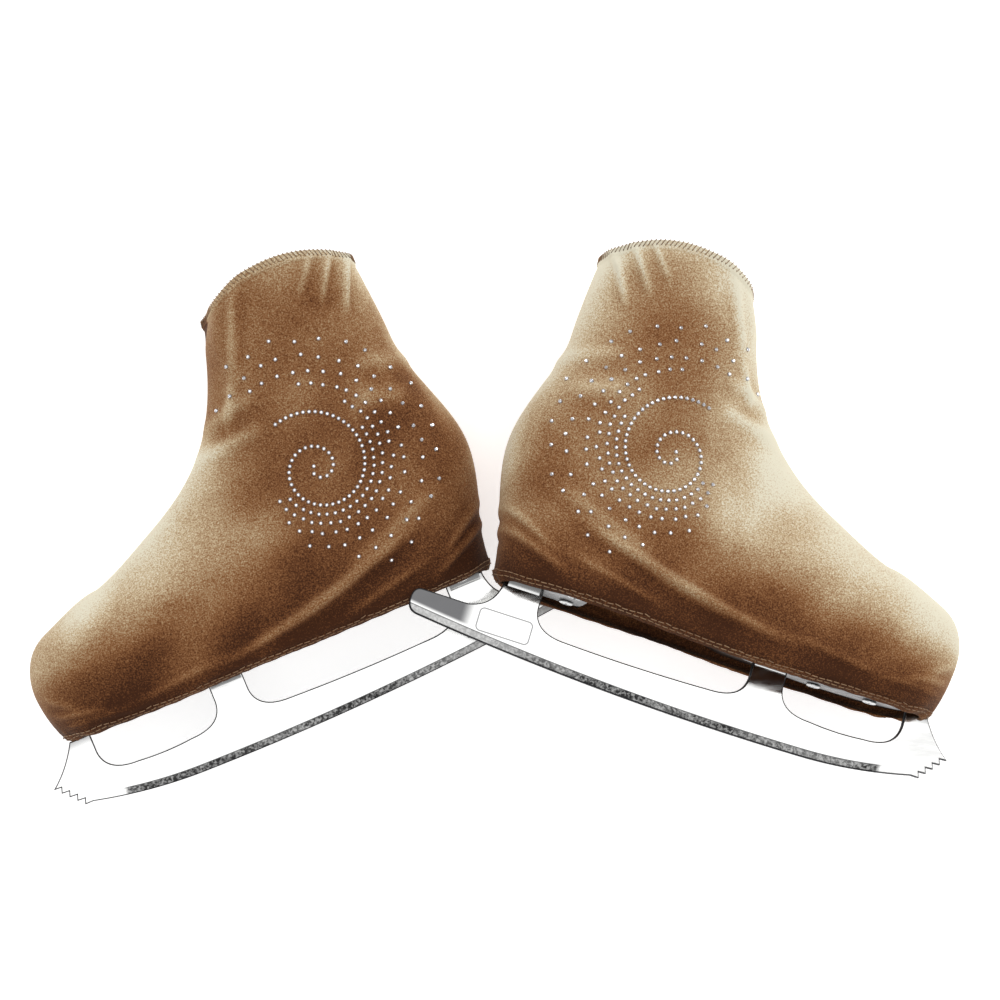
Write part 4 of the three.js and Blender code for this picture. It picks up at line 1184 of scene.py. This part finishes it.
# a post's flare: a block whose half thickness grows with height as the fourth power of the share
def flareGrids(x, width, top):
    s = bladeSettings
    share = np.linspace(0, 1, 12)[:, None]
    half = np.broadcast_to(s["half"] - 0.05 + s["flare"] * share**4, (12, 8))
    across = np.broadcast_to(np.linspace(x - width / 2, x + width / 2, 8)[None, :], (12, 8))
    up = np.broadcast_to(top - s["flareHeight"] * (1 - share), (12, 8))
    return np.stack([across, half, up], -1), np.stack([across, -half, up], -1)


def makeBlade(side):
    s = bladeSettings
    top = boot["soleHeight"] - s["plateWall"] - s["gap"]
    points, faces = flatPlate([bladeOutline()], s["half"], s["edge"])
    spots = [np.stack([points[:, 0], points[:, 2], points[:, 1]], 1)]
    count = len(points)
    for x, width in ((s["rearPost"][0], s["rearPost"][1] - 4), (s["midPost"][0], s["midPost"][1] - 2)):
        outer, inner = flareGrids(x, width, top)
        spots += [outer.reshape(-1, 3), inner.reshape(-1, 3)]
        faces = faces + (slabFaces(12, 8, False) + count).tolist()
        count += 2 * 12 * 8
    piece = addPiece(f"{side}_blade_steel", side, np.concatenate(spots), faces, smoothFaces=False)
    finish(piece, "blade")
    fixTo(piece, side, "foot", "blade")


plateSettings = dict(
    sole=dict(back=140.0, front=247.0, backHalf=15.0, ballX=188.0, ballHalf=27.0, frontHalf=12.0),
    heel=dict(back=7.0, front=50.0, half=19.0, corner=9.0),
    soleScrews=[(159, 13.5), (190, 20.5), (222, 15)], heelScrews=[(16, 12), (41, 12)], hole=2.35, edge=0.35,
)


def screwSpots(rows):
    return [(x, sign * y) for x, y in rows for sign in (1, -1)]


def holeRing(x, y, radius):
    angle = np.linspace(0, 2 * math.pi, 20, endpoint=False)
    return np.stack([x + radius * np.cos(angle), y + radius * np.sin(angle)], 1)


def solePlateOutline():
    p = plateSettings["sole"]
    back, front, ballX, ball = p["back"], p["front"], p["ballX"], p["ballHalf"]
    half = np.concatenate([
        quadratic((back, 0), (back, -p["backHalf"]), (back + 14, -p["backHalf"] - 1))[:-1],
        quadratic((back + 14, -p["backHalf"] - 1), (ballX - 14, -ball), (ballX, -ball))[:-1],
        quadratic((ballX, -ball), (front - 22, -ball), (front - 5, -p["frontHalf"]))[:-1],
        quadratic((front - 5, -p["frontHalf"]), (front, 0), (front - 5, p["frontHalf"])),
    ])
    return np.concatenate([half, (half * (1, -1))[::-1][14:-1]])


def heelPlateOutline():
    p = plateSettings["heel"]
    b, f, h, c = p["back"], p["front"], p["half"], p["corner"]
    return np.concatenate([
        quadratic((f - c, -h), (f, -h), (f, -h + c)), quadratic((f, h - c), (f, h), (f - c, h)),
        quadratic((b + c, h), (b, h), (b, h - c)), quadratic((b, -h + c), (b, -h), (b + c, -h)),
    ])


def makePlates(side):
    s = bladeSettings
    middle = boot["soleHeight"] - s["plateWall"] + (s["plateWall"] - s["gap"]) / 2
    jobs = (
        ("sole_plate", solePlateOutline(), "soleScrews"),
        ("heel_plate", heelPlateOutline(), "heelScrews"),
    )
    for name, outlineXY, screws in jobs:
        holes = [holeRing(x, y, plateSettings["hole"]) for x, y in screwSpots(plateSettings[screws])]
        points, faces = flatPlate([outlineXY, *holes], (s["plateWall"] - s["gap"]) / 2, plateSettings["edge"])
        spots = points + (0, 0, middle)
        piece = addPiece(f"{side}_{name}_steel", side, spots, faces, smoothFaces=False)
        finish(piece, "plate")
        fixTo(piece, side, "foot", name)


screwSettings = dict(head=4.0, height=1.5, shank=2.0, length=8.0, slot=0.55, reach=2.3, slotDepth=0.9)


# screw: rings of a domed head, pressed in where a cross lies, then the rim and the shank
def screwGrid():
    s = screwSettings
    top = boot["soleHeight"] - bladeSettings["plateWall"] - bladeSettings["gap"]
    angle = np.linspace(0, 2 * math.pi, 48, endpoint=False)
    head, shank = s["head"], s["shank"]
    radius = np.concatenate([np.linspace(0.02, head * 0.96, 16), [head, head, shank, shank, 0.02]])
    dome = 0.7 * (1 - (radius[:16] / s["head"]) ** 2)
    rim = [s["height"] - 0.9, 0, 0, -s["length"] + 1.5, -s["length"]]
    depth = np.concatenate([s["height"] - 0.7 + dome, rim])
    x = radius[:, None] * np.cos(angle)[None, :]
    y = radius[:, None] * np.sin(angle)[None, :]
    cross = (np.minimum(np.abs(x), np.abs(y)) < s["slot"]) & (radius[:, None] < s["reach"])
    cross[16:] = False
    z = top - depth[:, None] + cross * s["slotDepth"]
    return np.stack([x, y, z], -1)


def makeScrews(side):
    grid = screwGrid()
    rows, columns = grid.shape[:2]
    spots, faces = [], []
    places = screwSpots(plateSettings["soleScrews"]) + screwSpots(plateSettings["heelScrews"])
    for i, (x, y) in enumerate(places):
        spots.append(grid + (x, y, 0))
        faces += tubeFaces(rows, columns, i * rows * columns)
    piece = addPiece(f"{side}_screws", side, np.concatenate(spots), faces)
    finish(piece, "screw")
    names = [f"sole_screw_{i}" for i in range(1, 7)] + [f"heel_screw_{i}" for i in range(1, 5)]
    fixTo(piece, side, "foot", *names)


spots = stoneSpots()
for side in ("left", "right"):
    outer, normals, away, cover = makeCover(side)
    makeStones(side, outer, normals, spots)
    makeStitches(side, outer, normals, away)
    makeUpper(side)
    makeTongue(side)
    makeOutsole(side)
    makeHeel(side)
    makeBlade(side)
    makePlates(side)
    makeScrews(side)

# the carried-over nodes keep their shape and get their finish
carried = {"insole": "lining", "outer_hook_facing": "leather", "inner_hook_facing": "leather"}
for side in ("left", "right"):
    for node, look in carried.items():
        item = bpy.data.objects[f"{side}_{node}"]
        item.data.materials.clear()
        item.data.materials.append(finishes[look])

floorSettings = dict(size=9.0, z=-0.0008, glow=0.6)


def makeFloor():
    mesh = bpy.data.meshes.new("floor")
    size = floorSettings["size"]
    corners = [(-size, -size, 0), (size, -size, 0), (size, size, 0), (-size, size, 0)]
    mesh.from_pydata(corners, [], [(0, 1, 2, 3)])
    floor = bpy.data.objects.new("floor", mesh)
    floor.location.z = floorSettings["z"]
    bpy.context.collection.objects.link(floor)
    material, tree, shader = blankMaterial("paleFloor")
    shader.inputs["Base Color"].default_value = (0.9, 0.9, 0.9, 1)
    shader.inputs["Roughness"].default_value = 1.0
    shader.inputs["Specular IOR Level"].default_value = 0.0
    shader.inputs["Emission Color"].default_value = (1, 1, 1, 1)
    shader.inputs["Emission Strength"].default_value = floorSettings["glow"]
    mesh.materials.append(material)


def areaLight(name, location, size, power, target=(0, 0, 0)):
    data = bpy.data.lights.new(name, "AREA")
    data.shape = "DISK"
    data.size = size
    data.energy = power
    light = bpy.data.objects.new(name, data)
    light.location = location
    direction = np.array(target, float) - np.array(location, float)
    pitch = math.acos(-direction[2] / np.linalg.norm(direction))
    light.rotation_euler = (pitch, 0, math.atan2(direction[1], direction[0]) - math.pi / 2)
    bpy.context.collection.objects.link(light)


makeFloor()
areaLight("overhead", (0.15, 0.15, 2.1), 2.5, 17.0)
areaLight("leftSide", (-1.5, 0.8, 0.9), 1.0, 6.0)
areaLight("rightSide", (1.5, 1.0, 0.9), 1.0, 9.0)
world = bpy.data.worlds.new("studio")
world.use_nodes = True
world.node_tree.nodes["Background"].inputs["Color"].default_value = (1, 1, 1, 1)
world.node_tree.nodes["Background"].inputs["Strength"].default_value = 0.5
bpy.context.scene.world = world
bpy.context.scene.view_settings.view_transform = "Standard"
print("stage lit")
